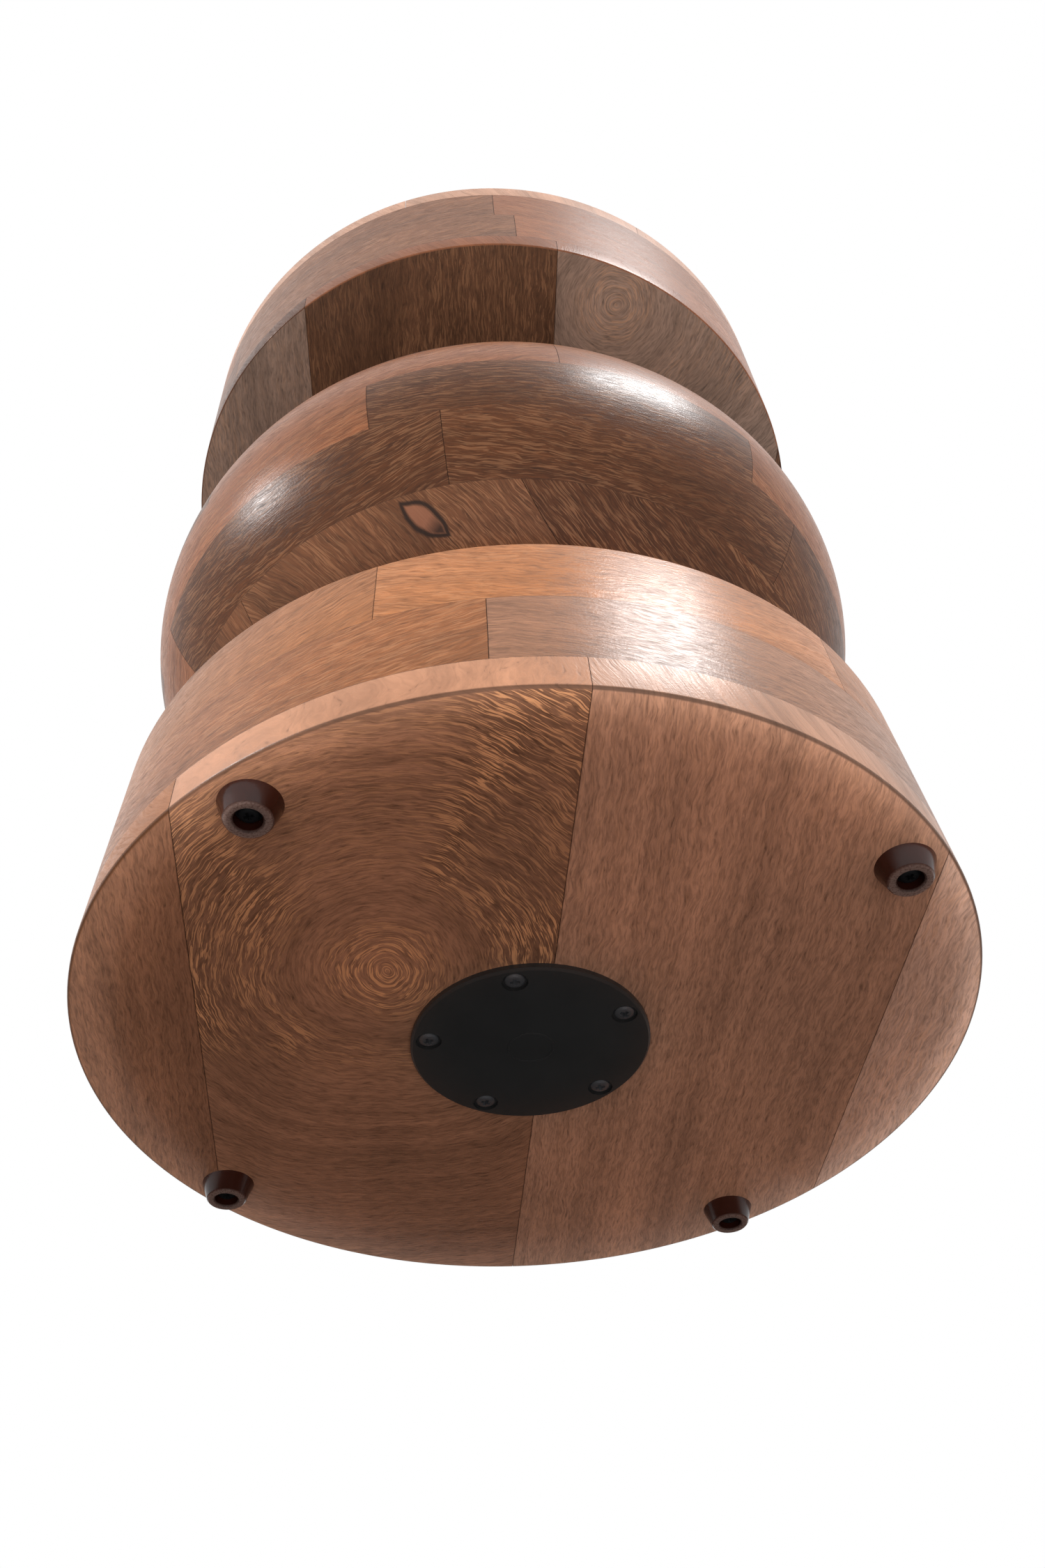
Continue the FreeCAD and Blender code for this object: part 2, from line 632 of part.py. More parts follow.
def make_foot_washers():
    """One steel washer on the floor of each foot's bore."""
    body = new_body("foot_washers")
    sketch = new_sketch(body, "discs", "XY_Plane")
    draw_circles(sketch, FEET, "Size.foot_bore - Size.foot_washer_fit")
    feature = body.newObject("PartDesign::Pad", "foot_washers_thickness")
    feature.Profile = sketch
    feature.setExpression("Length", "Size.foot_washer_thickness")
    body.Tip = feature
    doc.recompute()
    drill(body, "holes", FEET, "Size.foot_screw_shank + Size.screw_fit", "Size.foot_washer_thickness")
    seat(body, "Size.foot_height - Size.foot_seat - Size.foot_washer_thickness")


make_base_drum()
make_neck("lower_neck", LOWER_NECK)
make_middle_drum()
make_neck("upper_neck", UPPER_NECK)
make_top_drum()
make_dowels("base_dowels", LOWER_NECK)
make_dowels("mid_bottom_dowels", MIDDLE)
make_dowels("mid_top_dowels", UPPER_NECK)
make_dowels("top_dowels", TOP)
make_tie_rod()
make_cover()
make_screws("cover_screws", COVER_SCREWS, "cover", BASE + " - Size.cover_thickness + Size.cover_recess_depth",
            "Size.cover_thickness - Size.cover_recess_depth")
for foot in range(int(value("Size.foot_count"))):
    make_foot(foot)
make_foot_washers()
make_screws("foot_screws", FEET, "foot", "Size.foot_height - Size.foot_seat - Size.foot_washer_thickness",
            "Size.foot_seat + Size.foot_washer_thickness")
doc.recompute()

for item in doc.Objects:
    if "Invalid" in item.State or "Error" in item.State:
        raise RuntimeError("%s failed: %s" % (item.Name, item.State))
for piece in parts:
    if piece.Shape.isNull() or not piece.Shape.isValid():
        raise RuntimeError(piece.Label + " has no valid shape")

os.makedirs("parts", exist_ok=True)
for piece in parts:
    piece.Shape.exportStep(os.path.join("parts", piece.Label + ".step"))
    print("%-20s solids %2d  volume %.0f" % (piece.Label, len(piece.Shape.Solids), piece.Shape.Volume))
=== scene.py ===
"""Looks of a round side table of stacked wooden drums on moulded feet.

The file is laid out as an add-on and run as a script. It is in metres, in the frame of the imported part:
Z runs up the table's axis, the floor is at Z 0, and -Y is the side that the photograph shows.
Each ring segment and each plank is a board of its own. Its points carry where they lie in the timber,
so that the grain runs along that board through all its faces.
"""

import math
import random
from typing import NamedTuple

import bmesh
import bpy
from bpy.props import FloatProperty, FloatVectorProperty, IntProperty, PointerProperty
from mathutils import Matrix, Vector


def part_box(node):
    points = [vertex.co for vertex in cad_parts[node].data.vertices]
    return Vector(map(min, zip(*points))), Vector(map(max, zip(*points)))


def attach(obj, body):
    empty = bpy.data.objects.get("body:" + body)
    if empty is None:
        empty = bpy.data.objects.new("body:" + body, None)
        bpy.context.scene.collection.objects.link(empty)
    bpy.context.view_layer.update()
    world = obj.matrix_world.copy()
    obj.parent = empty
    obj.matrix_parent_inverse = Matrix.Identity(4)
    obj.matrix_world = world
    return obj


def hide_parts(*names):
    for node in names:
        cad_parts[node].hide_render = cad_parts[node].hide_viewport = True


bl_info = {
    "name": "Tiered side table",
    "version": (1, 0, 0),
    "blender": (4, 5, 0),
    "location": "3D View > Sidebar > Table",
    "description": "Builds the wood, fittings and stage of a side table of stacked drums",
    "category": "Object",
}

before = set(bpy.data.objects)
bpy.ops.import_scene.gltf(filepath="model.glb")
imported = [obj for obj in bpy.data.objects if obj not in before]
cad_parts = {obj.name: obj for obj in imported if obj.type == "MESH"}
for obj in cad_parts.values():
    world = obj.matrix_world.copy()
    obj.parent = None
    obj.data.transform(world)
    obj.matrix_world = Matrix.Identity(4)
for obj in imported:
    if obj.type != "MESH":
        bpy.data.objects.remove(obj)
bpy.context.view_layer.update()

MM = 0.001
ROUND_STEPS = 240
SEGMENT_STEPS = 40
NOSE_STEPS = 14
SCREW_STEPS = 48
EASE_STEPS = 4
# faces that meet at more than this keep a crisp edge
SHARP = math.radians(28)
# a point nearer than this to a height or a joint lies on it
TOUCH = 0.01 * MM
# a direction nearer than this to a joint's, in radians, lies on it
ON_JOINT = 1e-5
# points nearer than this are one point of a mesh made here, or of a solid's mesh
WELD = 1e-7
WELD_SOLID = 1e-6

# how far the edges are rounded, from the floor up
BASE_EDGE = 1.6 * MM
BASE_HOLE_EDGE = 0.5 * MM
BASE_TOP_EDGE = 1.5 * MM
INLAID_EDGE = 0.3 * MM
TOP_DRUM_EDGE = 1.0 * MM
TABLE_EDGE = 2.0 * MM
# stain gathers on a worn lower edge this many times as darkly as in a glue line
EDGE_STAIN = 2.0
# the base stays this far inside the solids, whose box is that of their facets
HAIR = 0.06 * MM
# half the thickness of a ring's wall
HALF_WALL = 17 * MM
# how fast the growth rings change along a straight board, and along and through a swirl
STRAIGHT_RUN = 0.03
SWIRL_RUN = 0.85
SWIRL_THROUGH = 0.3
# how much golden figure a plain board has
PLAIN_FIGURE = 0.1
# a place against the knot for boards that have none
FAR_AWAY = Vector((9.0, 9.0, 9.0))

# a screw's head in shares of its radius: height of the pan, depth of the cross and half its length
PAN = 0.75
CROSS_DEPTH = 0.5
CROSS_REACH = 0.62
# radius of the head that the width of the cross is given for
CROSS_HEAD = 4.5 * MM
# turn from one screw to the next
SCREW_TURN = 0.7
# crumbs of the cut that are cleared away
CRUMB = 0.004 * MM

# height of the table's middle, which the lamps face
MIDDLE = 0.27
WHITE = (1.0, 1.0, 1.0, 1.0)
MANGO = "mango_wood_stained_satin_lacquer"


# Colours, sizes and nodes


def colour(code):
    """Linear red, green and blue of an sRGB hex value."""
    parts = [int(code[i:i + 2], 16) / 255 for i in (1, 3, 5)]
    return tuple(p / 12.92 if p <= 0.04045 else ((p + 0.055) / 1.055) ** 2.4 for p in parts)


def reach(node, pick, level=None):
    """Largest or smallest distance from the axis of a node's points, at its low or high face or anywhere."""
    low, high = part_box(node)
    height = {"low": low.z, "high": high.z}.get(level)
    points = (v.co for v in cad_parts[node].data.vertices)
    return pick(math.hypot(p.x, p.y) for p in points if height is None or abs(p.z - height) < TOUCH)


def heights(node):
    """Lowest and highest Z of a node."""
    low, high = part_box(node)
    return low.z, high.z


def add(tree, kind, inputs=(), **settings):
    """Adds a node with its settings.

    Inputs are given by name or number, or in order. Each is a plain value, a socket to link, or a node whose
    first output is linked.
    """
    made = tree.nodes.new(kind)
    for name, value in settings.items():
        setattr(made, name, value)
    for name, value in inputs.items() if isinstance(inputs, dict) else enumerate(inputs):
        if isinstance(value, bpy.types.Node):
            value = value.outputs[0]
        if isinstance(value, bpy.types.NodeSocket):
            tree.links.new(value, made.inputs[name])
        else:
            made.inputs[name].default_value = value
    return made


def new_material(name):
    """An empty node material and its tree."""
    material = bpy.data.materials.new(name)
    material.use_nodes = True
    material.node_tree.nodes.clear()
    return material, material.node_tree


# Properties


def tint(name, description, code):
    """A colour that a user may change."""
    return FloatVectorProperty(name=name, description=description, subtype="COLOR", default=colour(code))


def number(name, description, default, **kind):
    """A size, an angle or a strength that a user may change; kind is its unit or subtype."""
    return FloatProperty(name=name, description=description, default=default, **kind)


class TableWood(bpy.types.PropertyGroup):
    """Sizes and colours of the boards."""

    plank_width: number("Plank width", "Width of the planks in the flat boards", 151 * MM, unit="LENGTH")
    glue_gap: number("Glue gap", "Gap between two boards at a glue line", 0.2 * MM, unit="LENGTH")
    segments: IntProperty(name="Segments", description="Boards in one ring", default=6, min=3, max=24)
    umber: tint("Umber", "Dark, greyish boards", "#553a2a")
    walnut: tint("Walnut", "Darkest stained boards", "#58331c")
    sepia: tint("Sepia", "Dull brown boards", "#744a30")
    chestnut: tint("Chestnut", "Middle stained boards", "#835033")
    cinnamon: tint("Cinnamon", "Warm, darker boards", "#935b35")
    amber: tint("Amber", "Warm stained boards", "#9c633a")
    honey: tint("Honey", "Lightest warm boards", "#ae6f42")
    # greyish brown that is partly stain and partly a painted sheen of reflected light
    smoke: tint("Smoke", "Greyish brown boards", "#7e685b")
    fawn: tint("Fawn", "Greyish boards in the wall", "#966b52")
    tawny: tint("Tawny", "Pale brown boards", "#a97b60")
    russet: tint("Russet", "Pale reddish boards", "#b68a71")
    blond: tint("Blond", "End grain at the rim", "#c89272")
    ash: tint("Ash brown", "Palest, greyish boards", "#c6a08c")
    heartwood: tint("Heartwood", "Inside of the knot", "#a06a50")
    # colour of the figure, painted paler than the wood takes it so that it is also a painted glint of the
    # lacquer
    gold_and_glint: tint("Gold", "Curly figure in the timber", "#e9ab7c")
    glue: tint("Glue line", "Stain caught in the joints", "#2c1c14")


class TableFittings(bpy.types.PropertyGroup):
    """Sizes and colours of the cover, screws, feet and hidden hardware."""

    plate: tint("Cover", "Moulded cover under the base", "#363636")
    foot: tint("Feet", "Moulded feet", "#3c1b13")
    # paler end of the feet: partly scuffing, partly a painted reflection in the end face
    scuff_and_sheen: tint("Scuffed feet", "Feet where they rub on the floor", "#ad9287")
    blacking: tint("Blacked steel", "Screws of the cover", "#8e9095")
    hidden: tint("Dark steel", "Screws and washers in the feet", "#141416")
    zinc: tint("Zinc", "Tie rod, nuts and plate washers", "#b9bcc0")
    dowel: tint("Dowels", "Bare turned dowels", "#c9a578")
    mark_radius: number("Gate mark radius", "Round mark on the cover", 10.5 * MM, unit="LENGTH")
    cross_width: number("Cross width", "Width of a screw's cross recess", 1.6 * MM, unit="LENGTH")


class TableStage(bpy.types.PropertyGroup):
    """Camera, lamps and floor."""

    camera_back: number("Camera distance", "From the table's axis", 482.9 * MM, unit="LENGTH")
    camera_height: number("Camera height", "Against the floor", -356.2 * MM, unit="LENGTH")
    camera_yaw: number("Camera yaw", "Turn about the vertical", -0.0111, subtype="ANGLE")
    camera_pitch: number("Camera pitch", "Tilt upwards", 0.8386, subtype="ANGLE")
    camera_roll: number("Camera roll", "Turn about the line of sight", 0.0778, subtype="ANGLE")
    lens: number("Lens", "Focal length on a 36 mm long side", 30.56, unit="CAMERA")
    floor: tint("Floor", "Plain pale floor", "#f2f0ee")
    sky: number("Room light", "Strength of the even light from all sides", 0.38)
    key: number("Key lamp", "Softbox at the front right", 26.0, subtype="POWER")
    side: number("Side lamp", "Smaller softbox at the left", 12.5, subtype="POWER")
    under: number("Under lamp", "Wide lamp that lights the undersides", 12.0, subtype="POWER")


# Materials


def stained_mango():
    """Mango wood, turned, stained walnut and sprayed with satin lacquer.

    The stain takes unevenly, so fine short lines of light and dark follow the growth rings, with soft bands
    and blotches behind them, short dark pores, and a curly golden figure in some boards. The gold is painted
    paler than the wood takes it, so it is also a painted glint of the lacquer on those lines. The lacquer
    gives a soft sheen that the lines break up.
    """
    wood = bpy.context.scene.table_wood
    material, tree = new_material(MANGO)
    given = {}
    for name in ("fibre", "growth", "knot", "figure", "glue", "stain"):
        given[name] = add(tree, "ShaderNodeAttribute", attribute_name=name).outputs
    fibre = given["fibre"]["Vector"]
    growth = given["growth"]["Vector"]
    figure = given["figure"]["Fac"]

    # growth rings wander by 14 mm over 60 mm, and curl by 3.4 mm over 13 mm
    stretched = add(tree, "ShaderNodeVectorMath", (fibre, (1.0, 0.4, 1.0)), operation="MULTIPLY")
    slow = add(tree, "ShaderNodeTexNoise", {"Vector": stretched, "Scale": 1 / (60 * MM), "Detail": 2.0})
    quick = add(tree, "ShaderNodeTexNoise", {"Vector": fibre, "Scale": 1 / (13 * MM), "Detail": 1.0})
    ring_at = growth
    for noise, sway in ((slow, 14 * MM), (quick, 3.4 * MM)):
        off = add(tree, "ShaderNodeVectorMath",
                  (noise.outputs["Color"], (sway,) * 3, (-sway / 2,) * 3), operation="MULTIPLY_ADD")
        ring_at = add(tree, "ShaderNodeVectorMath", (ring_at, off), operation="ADD")
    depth = add(tree, "ShaderNodeVectorMath", (ring_at,), operation="LENGTH").outputs["Value"]

    # soft rings about 7 mm apart, bands about 35 mm apart and blotches of stain about 45 mm across
    rings = add(tree, "ShaderNodeTexNoise",
                {"W": depth, "Scale": 1 / (7 * MM), "Detail": 2.0, "Roughness": 0.6}, noise_dimensions="1D")
    bands = add(tree, "ShaderNodeTexNoise",
                {"W": depth, "Scale": 1 / (35 * MM), "Detail": 1.0}, noise_dimensions="1D")
    blotch = add(tree, "ShaderNodeTexNoise", {"Vector": stretched, "Scale": 1 / (45 * MM), "Detail": 3.0})

    # lines that follow the rings, drawn coarser than real pores so that they show: short ones 0.9 mm wide
    # and 7 mm long, and golden ones 0.8 mm wide and 13 mm long
    parts = add(tree, "ShaderNodeSeparateXYZ", (fibre,)).outputs
    across = add(tree, "ShaderNodeMath", (parts["X"], parts["Z"]), operation="ADD")
    along = add(tree, "ShaderNodeCombineXYZ", (depth, parts["Y"], across))
    strokes = []
    for wide, long, roughness, bend in ((0.9 * MM, 7 * MM, 0.6, 0.5), (0.8 * MM, 13 * MM, 0.5, 1.0)):
        at = add(tree, "ShaderNodeVectorMath", (along, (1 / wide, 1 / long, 1 / long)), operation="MULTIPLY")
        drawn = {"Vector": at, "Scale": 1.0, "Detail": 2.0, "Roughness": roughness, "Distortion": bend}
        strokes.append(add(tree, "ShaderNodeTexNoise", drawn))
    lines, long_lines = strokes

    # masks that rise smoothly between two values: pores in the dark lines, the bright golden lines, and the
    # places outside the heart of a swirl, before it and at it
    ahead = add(tree, "ShaderNodeSeparateXYZ", (growth,)).outputs["Y"]
    masks = []
    for value, none, whole in ((lines, 0.36, 0.26), (long_lines, 0.5, 0.6), (depth, 34 * MM, 56 * MM),
                               (ahead, 70 * MM, 25 * MM), (depth, 34 * MM, 12 * MM)):
        masks.append(add(tree, "ShaderNodeMapRange", {"Value": value, "From Min": none, "From Max": whole},
                         interpolation_type="SMOOTHSTEP"))
    pores, bright, outer, before, heart = masks

    # golden figure: in patches beside the heart of a swirl, and as pale curls at the heart itself; its gold
    # is painted paler than the wood, so it is also a painted glint of the lacquer
    patch = add(tree, "ShaderNodeMapRange",
                {"Value": blotch, "From Min": 0.34, "From Max": 0.5, "To Min": 0.35, "To Max": 1.0})
    toward = add(tree, "ShaderNodeVectorMath", (growth, (-0.26, -0.97, 0.0)), operation="DOT_PRODUCT")
    facing = add(tree, "ShaderNodeMath", (toward.outputs["Value"], depth), operation="DIVIDE")
    beside = add(tree, "ShaderNodeMapRange",
                 {"Value": facing, "From Min": 0.97, "From Max": 0.8, "To Min": 0.25, "To Max": 1.0},
                 interpolation_type="SMOOTHSTEP")
    patched = outer
    for mask in (before, beside, patch):
        patched = add(tree, "ShaderNodeMath", (patched, mask), operation="MULTIPLY")
    between = add(tree, "ShaderNodeMath", (patched, figure), operation="MULTIPLY", use_clamp=True)
    gilt_and_glint = []
    for place in (patched, heart):
        lit = add(tree, "ShaderNodeMath", (place, bright), operation="MULTIPLY")
        gilt_and_glint.append(add(tree, "ShaderNodeMath", (lit, figure), operation="MULTIPLY", use_clamp=True))

    # tone of the stain from rings, bands and blotches, then lines, pores and the ground of the figure
    tone = add(tree, "ShaderNodeMath", (rings, 0.3), operation="MULTIPLY")
    for pattern, share in ((bands, 0.3), (blotch, 0.4)):
        tone = add(tree, "ShaderNodeMath", (pattern, share, tone), operation="MULTIPLY_ADD")
    level = add(tree, "ShaderNodeMapRange",
                {"Value": tone, "From Min": 0.36, "From Max": 0.64, "To Min": 0.76, "To Max": 1.24})
    streak = add(tree, "ShaderNodeMapRange",
                 {"Value": lines, "From Min": 0.36, "From Max": 0.64, "To Min": -0.23, "To Max": 0.23})
    calm = add(tree, "ShaderNodeMapRange",
               {"Value": figure, "From Max": PLAIN_FIGURE, "To Min": 0.4, "To Max": 1.0})
    lively = add(tree, "ShaderNodeMath", (streak, calm, 1.0), operation="MULTIPLY_ADD")
    pored = add(tree, "ShaderNodeMapRange", {"Value": pores, "To Min": 1.0, "To Max": 0.7})
    ground = add(tree, "ShaderNodeMapRange", {"Value": between, "To Min": 1.0, "To Max": 0.62})
    shade = given["stain"]["Color"]
    for strength in (level, lively, pored, ground):
        shade = add(tree, "ShaderNodeVectorMath", {0: shade, "Scale": strength}, operation="SCALE")

    # eye-shaped knot: two arcs that meet at its ends, with a dark rim, a pale inside and a dark lower end
    wobble = add(tree, "ShaderNodeVectorMath",
                 (quick.outputs["Color"], (0.3, 0.5, 0.0), (-0.15, -0.25, 0.0)), operation="MULTIPLY_ADD")
    knot_at = add(tree, "ShaderNodeVectorMath", (given["knot"]["Vector"], wobble), operation="ADD")
    eye = add(tree, "ShaderNodeSeparateXYZ", (knot_at,)).outputs
    squared = add(tree, "ShaderNodeMath", (eye["X"], eye["X"]), operation="MULTIPLY")
    arc = add(tree, "ShaderNodeMath", (1.0, squared), operation="SUBTRACT")
    height = add(tree, "ShaderNodeMath", (eye["Y"],), operation="ABSOLUTE")
    inside = add(tree, "ShaderNodeMath", (arc, height), operation="SUBTRACT")
    edge = add(tree, "ShaderNodeMath", (inside,), operation="ABSOLUTE")
    rim = add(tree, "ShaderNodeMapRange",
              {"Value": edge, "From Min": 0.1, "From Max": 0.34, "To Min": 0.95, "To Max": 0.0})
    core = add(tree, "ShaderNodeMapRange",
               {"Value": inside, "From Min": 0.0, "From Max": 0.4, "To Min": 0.0, "To Max": 0.75})
    lower_end = add(tree, "ShaderNodeMapRange",
                    {"Value": eye["X"], "From Min": 0.1, "From Max": 0.6, "To Min": 0.0, "To Max": 1.2})
    filled = add(tree, "ShaderNodeMath", (core, lower_end), operation="MULTIPLY")
    knot_dark = add(tree, "ShaderNodeMath", (rim, filled), operation="MAXIMUM")
    glued = add(tree, "ShaderNodeMath", (given["glue"]["Fac"], 0.35), operation="MULTIPLY")

    # colours laid over the stain, one after the other: the golden figure with its painted glint, the knot and
    # the glue lines
    layers = ((gilt_and_glint[0], wood.gold_and_glint), (gilt_and_glint[1], wood.gold_and_glint), (core, wood.heartwood),
              (knot_dark, wood.glue), (glued, wood.glue))
    for share, over in layers:
        shade = add(tree, "ShaderNodeMix", {0: share, 6: shade, 7: (*over, 1.0)}, data_type="RGBA").outputs[2]

    # lacquer: duller in the dark lines, with the grain standing 0.2 mm or so proud and a tooth of the sanded
    # surface, drawn at 1.1 mm so that it shows
    dull = add(tree, "ShaderNodeMapRange",
               {"Value": lines, "From Min": 0.3, "From Max": 0.7, "To Min": 0.42, "To Max": 0.25})
    tooth = add(tree, "ShaderNodeTexNoise", {"Vector": fibre, "Scale": 1 / (1.1 * MM), "Detail": 2.0})
    relief = add(tree, "ShaderNodeMath", (tooth, 0.5, lines), operation="MULTIPLY_ADD")
    bump = add(tree, "ShaderNodeBump", {"Height": relief, "Strength": 0.48, "Distance": 0.2 * MM})
    shader = add(tree, "ShaderNodeBsdfPrincipled",
                 {"Base Color": shade, "Roughness": dull, "Normal": bump,
                  "IOR": 1.5, "Specular IOR Level": 0.2})
    add(tree, "ShaderNodeOutputMaterial", {"Surface": shader})
    return material


def speckle(tree, tone, size, detail, shades, stretch=1.0):
    """Noise of a real size, and a tone that it darkens and lightens between two shades.

    A stretch under 1 draws the noise out along Z.
    """
    where = add(tree, "ShaderNodeTexCoord").outputs["Object"]
    at = add(tree, "ShaderNodeVectorMath", (where, (1.0, 1.0, stretch)), operation="MULTIPLY")
    noise = add(tree, "ShaderNodeTexNoise", {"Vector": at, "Scale": 1 / size, "Detail": detail})
    shade = add(tree, "ShaderNodeMapRange", {"Value": noise, "To Min": shades[0], "To Max": shades[1]})
    return noise, add(tree, "ShaderNodeVectorMath", {0: tuple(tone), "Scale": shade}, operation="SCALE")


def moulded_plastic(name, tone, roughness, grit, gloss, scuff_and_sheen=None):
    """ABS or nylon, moulded against a spark-eroded tool: even colour, soft gloss and a fine pebble.

    Grit is the size of the pebble, drawn coarser than the real one so that it shows. The last colour is the
    paler
    one of the end that slides on the floor: partly wear, and partly a painted reflection of bright
    surroundings in that face.
    """
    material, tree = new_material(name)
    where = add(tree, "ShaderNodeTexCoord").outputs["Object"]
    pebble = add(tree, "ShaderNodeTexNoise", {"Vector": where, "Scale": 1 / grit, "Detail": 2.0})
    tinted = speckle(tree, tone, 22 * MM, detail=2.0, shades=(0.8, 1.2))[1]
    rough = add(tree, "ShaderNodeMapRange",
                {"Value": pebble, "To Min": roughness - 0.06, "To Max": roughness + 0.06})
    # the end that slides on the floor turns paler: partly wear, partly a painted reflection of bright
    # surroundings
    if scuff_and_sheen:
        place = add(tree, "ShaderNodeSeparateXYZ", (where,))
        low = add(tree, "ShaderNodeMapRange",
                  {"Value": place.outputs["Z"], "From Min": 0.9 * MM, "From Max": 0.0})
        rub_and_sheen = add(tree, "ShaderNodeMapRange",
                     {"Value": pebble, "From Min": 0.3, "From Max": 0.7, "To Min": 0.35, "To Max": 0.7})
        worn = add(tree, "ShaderNodeMath", (low, rub_and_sheen), operation="MULTIPLY")
        tinted = add(tree, "ShaderNodeMix",
                     {0: worn, 6: tinted, 7: (*scuff_and_sheen, 1.0)}, data_type="RGBA").outputs[2]
        rough = add(tree, "ShaderNodeMath", (worn, 0.25, rough), operation="MULTIPLY_ADD")
    bump = add(tree, "ShaderNodeBump", {"Height": pebble, "Strength": 0.12, "Distance": 0.1 * MM})
    shader = add(tree, "ShaderNodeBsdfPrincipled",
                 {"Base Color": tinted, "Roughness": rough, "Normal": bump,
                  "IOR": 1.53, "Specular IOR Level": gloss})
    add(tree, "ShaderNodeOutputMaterial", {"Surface": shader})
    return material


def steel(name, tone, metallic, smoothest, roughest):
    """Drawn or headed steel with a thin coat: scratches that vary its gloss, drawn 0.5 mm apart to show."""
    material, tree = new_material(name)
    scratch, tinted = speckle(tree, tone, 0.5 * MM, detail=3.0, shades=(0.8, 1.15), stretch=0.05)
    gloss = add(tree, "ShaderNodeMapRange", {"Value": scratch, "To Min": smoothest, "To Max": roughest})
    bump = add(tree, "ShaderNodeBump", {"Height": scratch, "Strength": 0.1, "Distance": 0.05 * MM})
    shader = add(tree, "ShaderNodeBsdfPrincipled",
                 {"Base Color": tinted, "Metallic": metallic, "Roughness": gloss, "Normal": bump})
    add(tree, "ShaderNodeOutputMaterial", {"Surface": shader})
    return material


def bare_beech(tone):
    """Beech, turned and left bare: pale, dull, with short flecks along the dowel."""
    material, tree = new_material("beech_turned_bare")
    fleck, tinted = speckle(tree, tone, 0.8 * MM, detail=2.0, shades=(0.7, 1.25), stretch=0.15)
    bump = add(tree, "ShaderNodeBump", {"Height": fleck, "Strength": 0.2, "Distance": 0.1 * MM})
    shader = add(tree, "ShaderNodeBsdfPrincipled", {"Base Color": tinted, "Roughness": 0.7, "Normal": bump})
    add(tree, "ShaderNodeOutputMaterial", {"Surface": shader})
    return material


def wood_material():
    """The one stained wood, made when first asked for."""
    return bpy.data.materials.get(MANGO) or stained_mango()


# Objects


def mesh_from(name, bm):
    """A mesh from a bmesh, which is then let go."""
    mesh = bpy.data.meshes.new(name)
    bm.to_mesh(mesh)
    bm.free()
    return mesh


def placed(name, data):
    """An object of a mesh, a lamp or a camera, in the scene."""
    obj = bpy.data.objects.new(name, data)
    bpy.context.scene.collection.objects.link(obj)
    return obj


def dress(obj, material):
    """Gives an object one material."""
    obj.data.materials.clear()
    obj.data.materials.append(material)


def smooth_object(name, mesh, material):
    """An object shaded smooth, with crisp edges where its faces meet sharply."""
    mesh.polygons.foreach_set("use_smooth", [True] * len(mesh.polygons))
    mesh.set_sharp_from_angle(angle=SHARP)
    obj = placed(name, mesh)
    dress(obj, material)
    return obj


def seat(obj, slot, *nodes):
    """Puts a piece on the table's one body, in place of its nodes."""
    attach(obj, "root")
    if nodes:
        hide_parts(*nodes)


# Turned shapes


def eased(corners):
    """Outline through (radius, height, ease) corners, with each corner rounded over its ease."""
    points = []
    for i, (r, z, ease) in enumerate(corners):
        here = Vector((r, z))
        if not ease:
            points.append(here)
            continue
        back = (Vector(corners[i - 1][:2]) - here).normalized() * ease
        ahead = (Vector(corners[(i + 1) % len(corners)][:2]) - here).normalized() * ease
        for step in range(EASE_STEPS + 1):
            t = step / EASE_STEPS
            points.append(here + back * (1 - t) ** 2 + ahead * t ** 2)
    return points


def wood_strip():
    """Width of the strip along a joint that the glue darkens."""
    return 2 * bpy.context.scene.table_wood.glue_gap


def wall(r0, z0, r1, z1, ease0=0.0, ease1=0.0):
    """Corners of an outer wall, with a narrow strip at each end that isn't eased, for the glue line."""
    run = Vector((r1 - r0, z1 - z0)).normalized() * wood_strip()
    corners = [(r0, z0, ease0)]
    if not ease0:
        corners.append((r0 + run.x, z0 + run.y, 0))
    if not ease1:
        corners.append((r1 - run.x, z1 - run.y, 0))
    corners.append((r1, z1, ease1))
    return corners


def turned(outline, start=0.0, sweep=math.tau, steps=ROUND_STEPS):
    """A solid turned from an outline of (radius, height) points about the axis, or a part of a turn of it."""
    bm = bmesh.new()
    full = math.isclose(sweep, math.tau)
    if full:
        angles = [start + sweep * i / steps for i in range(steps)]
    else:
        lip = wood_strip() / max(p[0] for p in outline)
        inner = [start + lip + (sweep - 2 * lip) * i / SEGMENT_STEPS for i in range(SEGMENT_STEPS + 1)]
        angles = [start, *inner, start + sweep]
    rows = [[bm.verts.new((r * math.cos(a), r * math.sin(a), z)) for r, z in outline] for a in angles]
    closed = min(p[0] for p in outline) > 0
    sides = len(outline) if closed else len(outline) - 1
    following = rows[1:] + rows[:1] if full else rows[1:]
    for near, far in zip(rows, following):
        for i in range(sides):
            j = (i + 1) % len(outline)
            bm.faces.new((near[i], near[j], far[j], far[i]))
    if not full:
        bm.faces.new(rows[0])
        bm.faces.new(rows[-1])
    bmesh.ops.remove_doubles(bm, verts=bm.verts, dist=WELD)
    bmesh.ops.recalc_face_normals(bm, faces=bm.faces)
    return bm


def saw(bm, point, normal):
    """Cuts away what lies beyond a plane, closes the cut, and scores a strip beside it."""
    geometry = bm.verts[:] + bm.edges[:] + bm.faces[:]
    bmesh.ops.bisect_plane(bm, geom=geometry, dist=WELD, plane_co=point, plane_no=normal, clear_outer=True)
    bmesh.ops.holes_fill(bm, edges=[e for e in bm.edges if e.is_boundary])
    geometry = bm.verts[:] + bm.edges[:] + bm.faces[:]
    inset = point - normal * wood_strip()
    bmesh.ops.bisect_plane(bm, geom=geometry, dist=WELD, plane_co=inset, plane_no=normal)
    bmesh.ops.recalc_face_normals(bm, faces=bm.faces)


def at_height(point, levels):
    """Tells whether a point lies at one of some heights."""
    return any(abs(point.z - z) < TOUCH for z in levels)


class Look(NamedTuple):
    """How one board looks: its stain, another for its rim, its golden figure and the pith of a swirl."""

    stain: str
    rim: str = ""
    figure: float = PLAIN_FIGURE
    pith: Vector = None


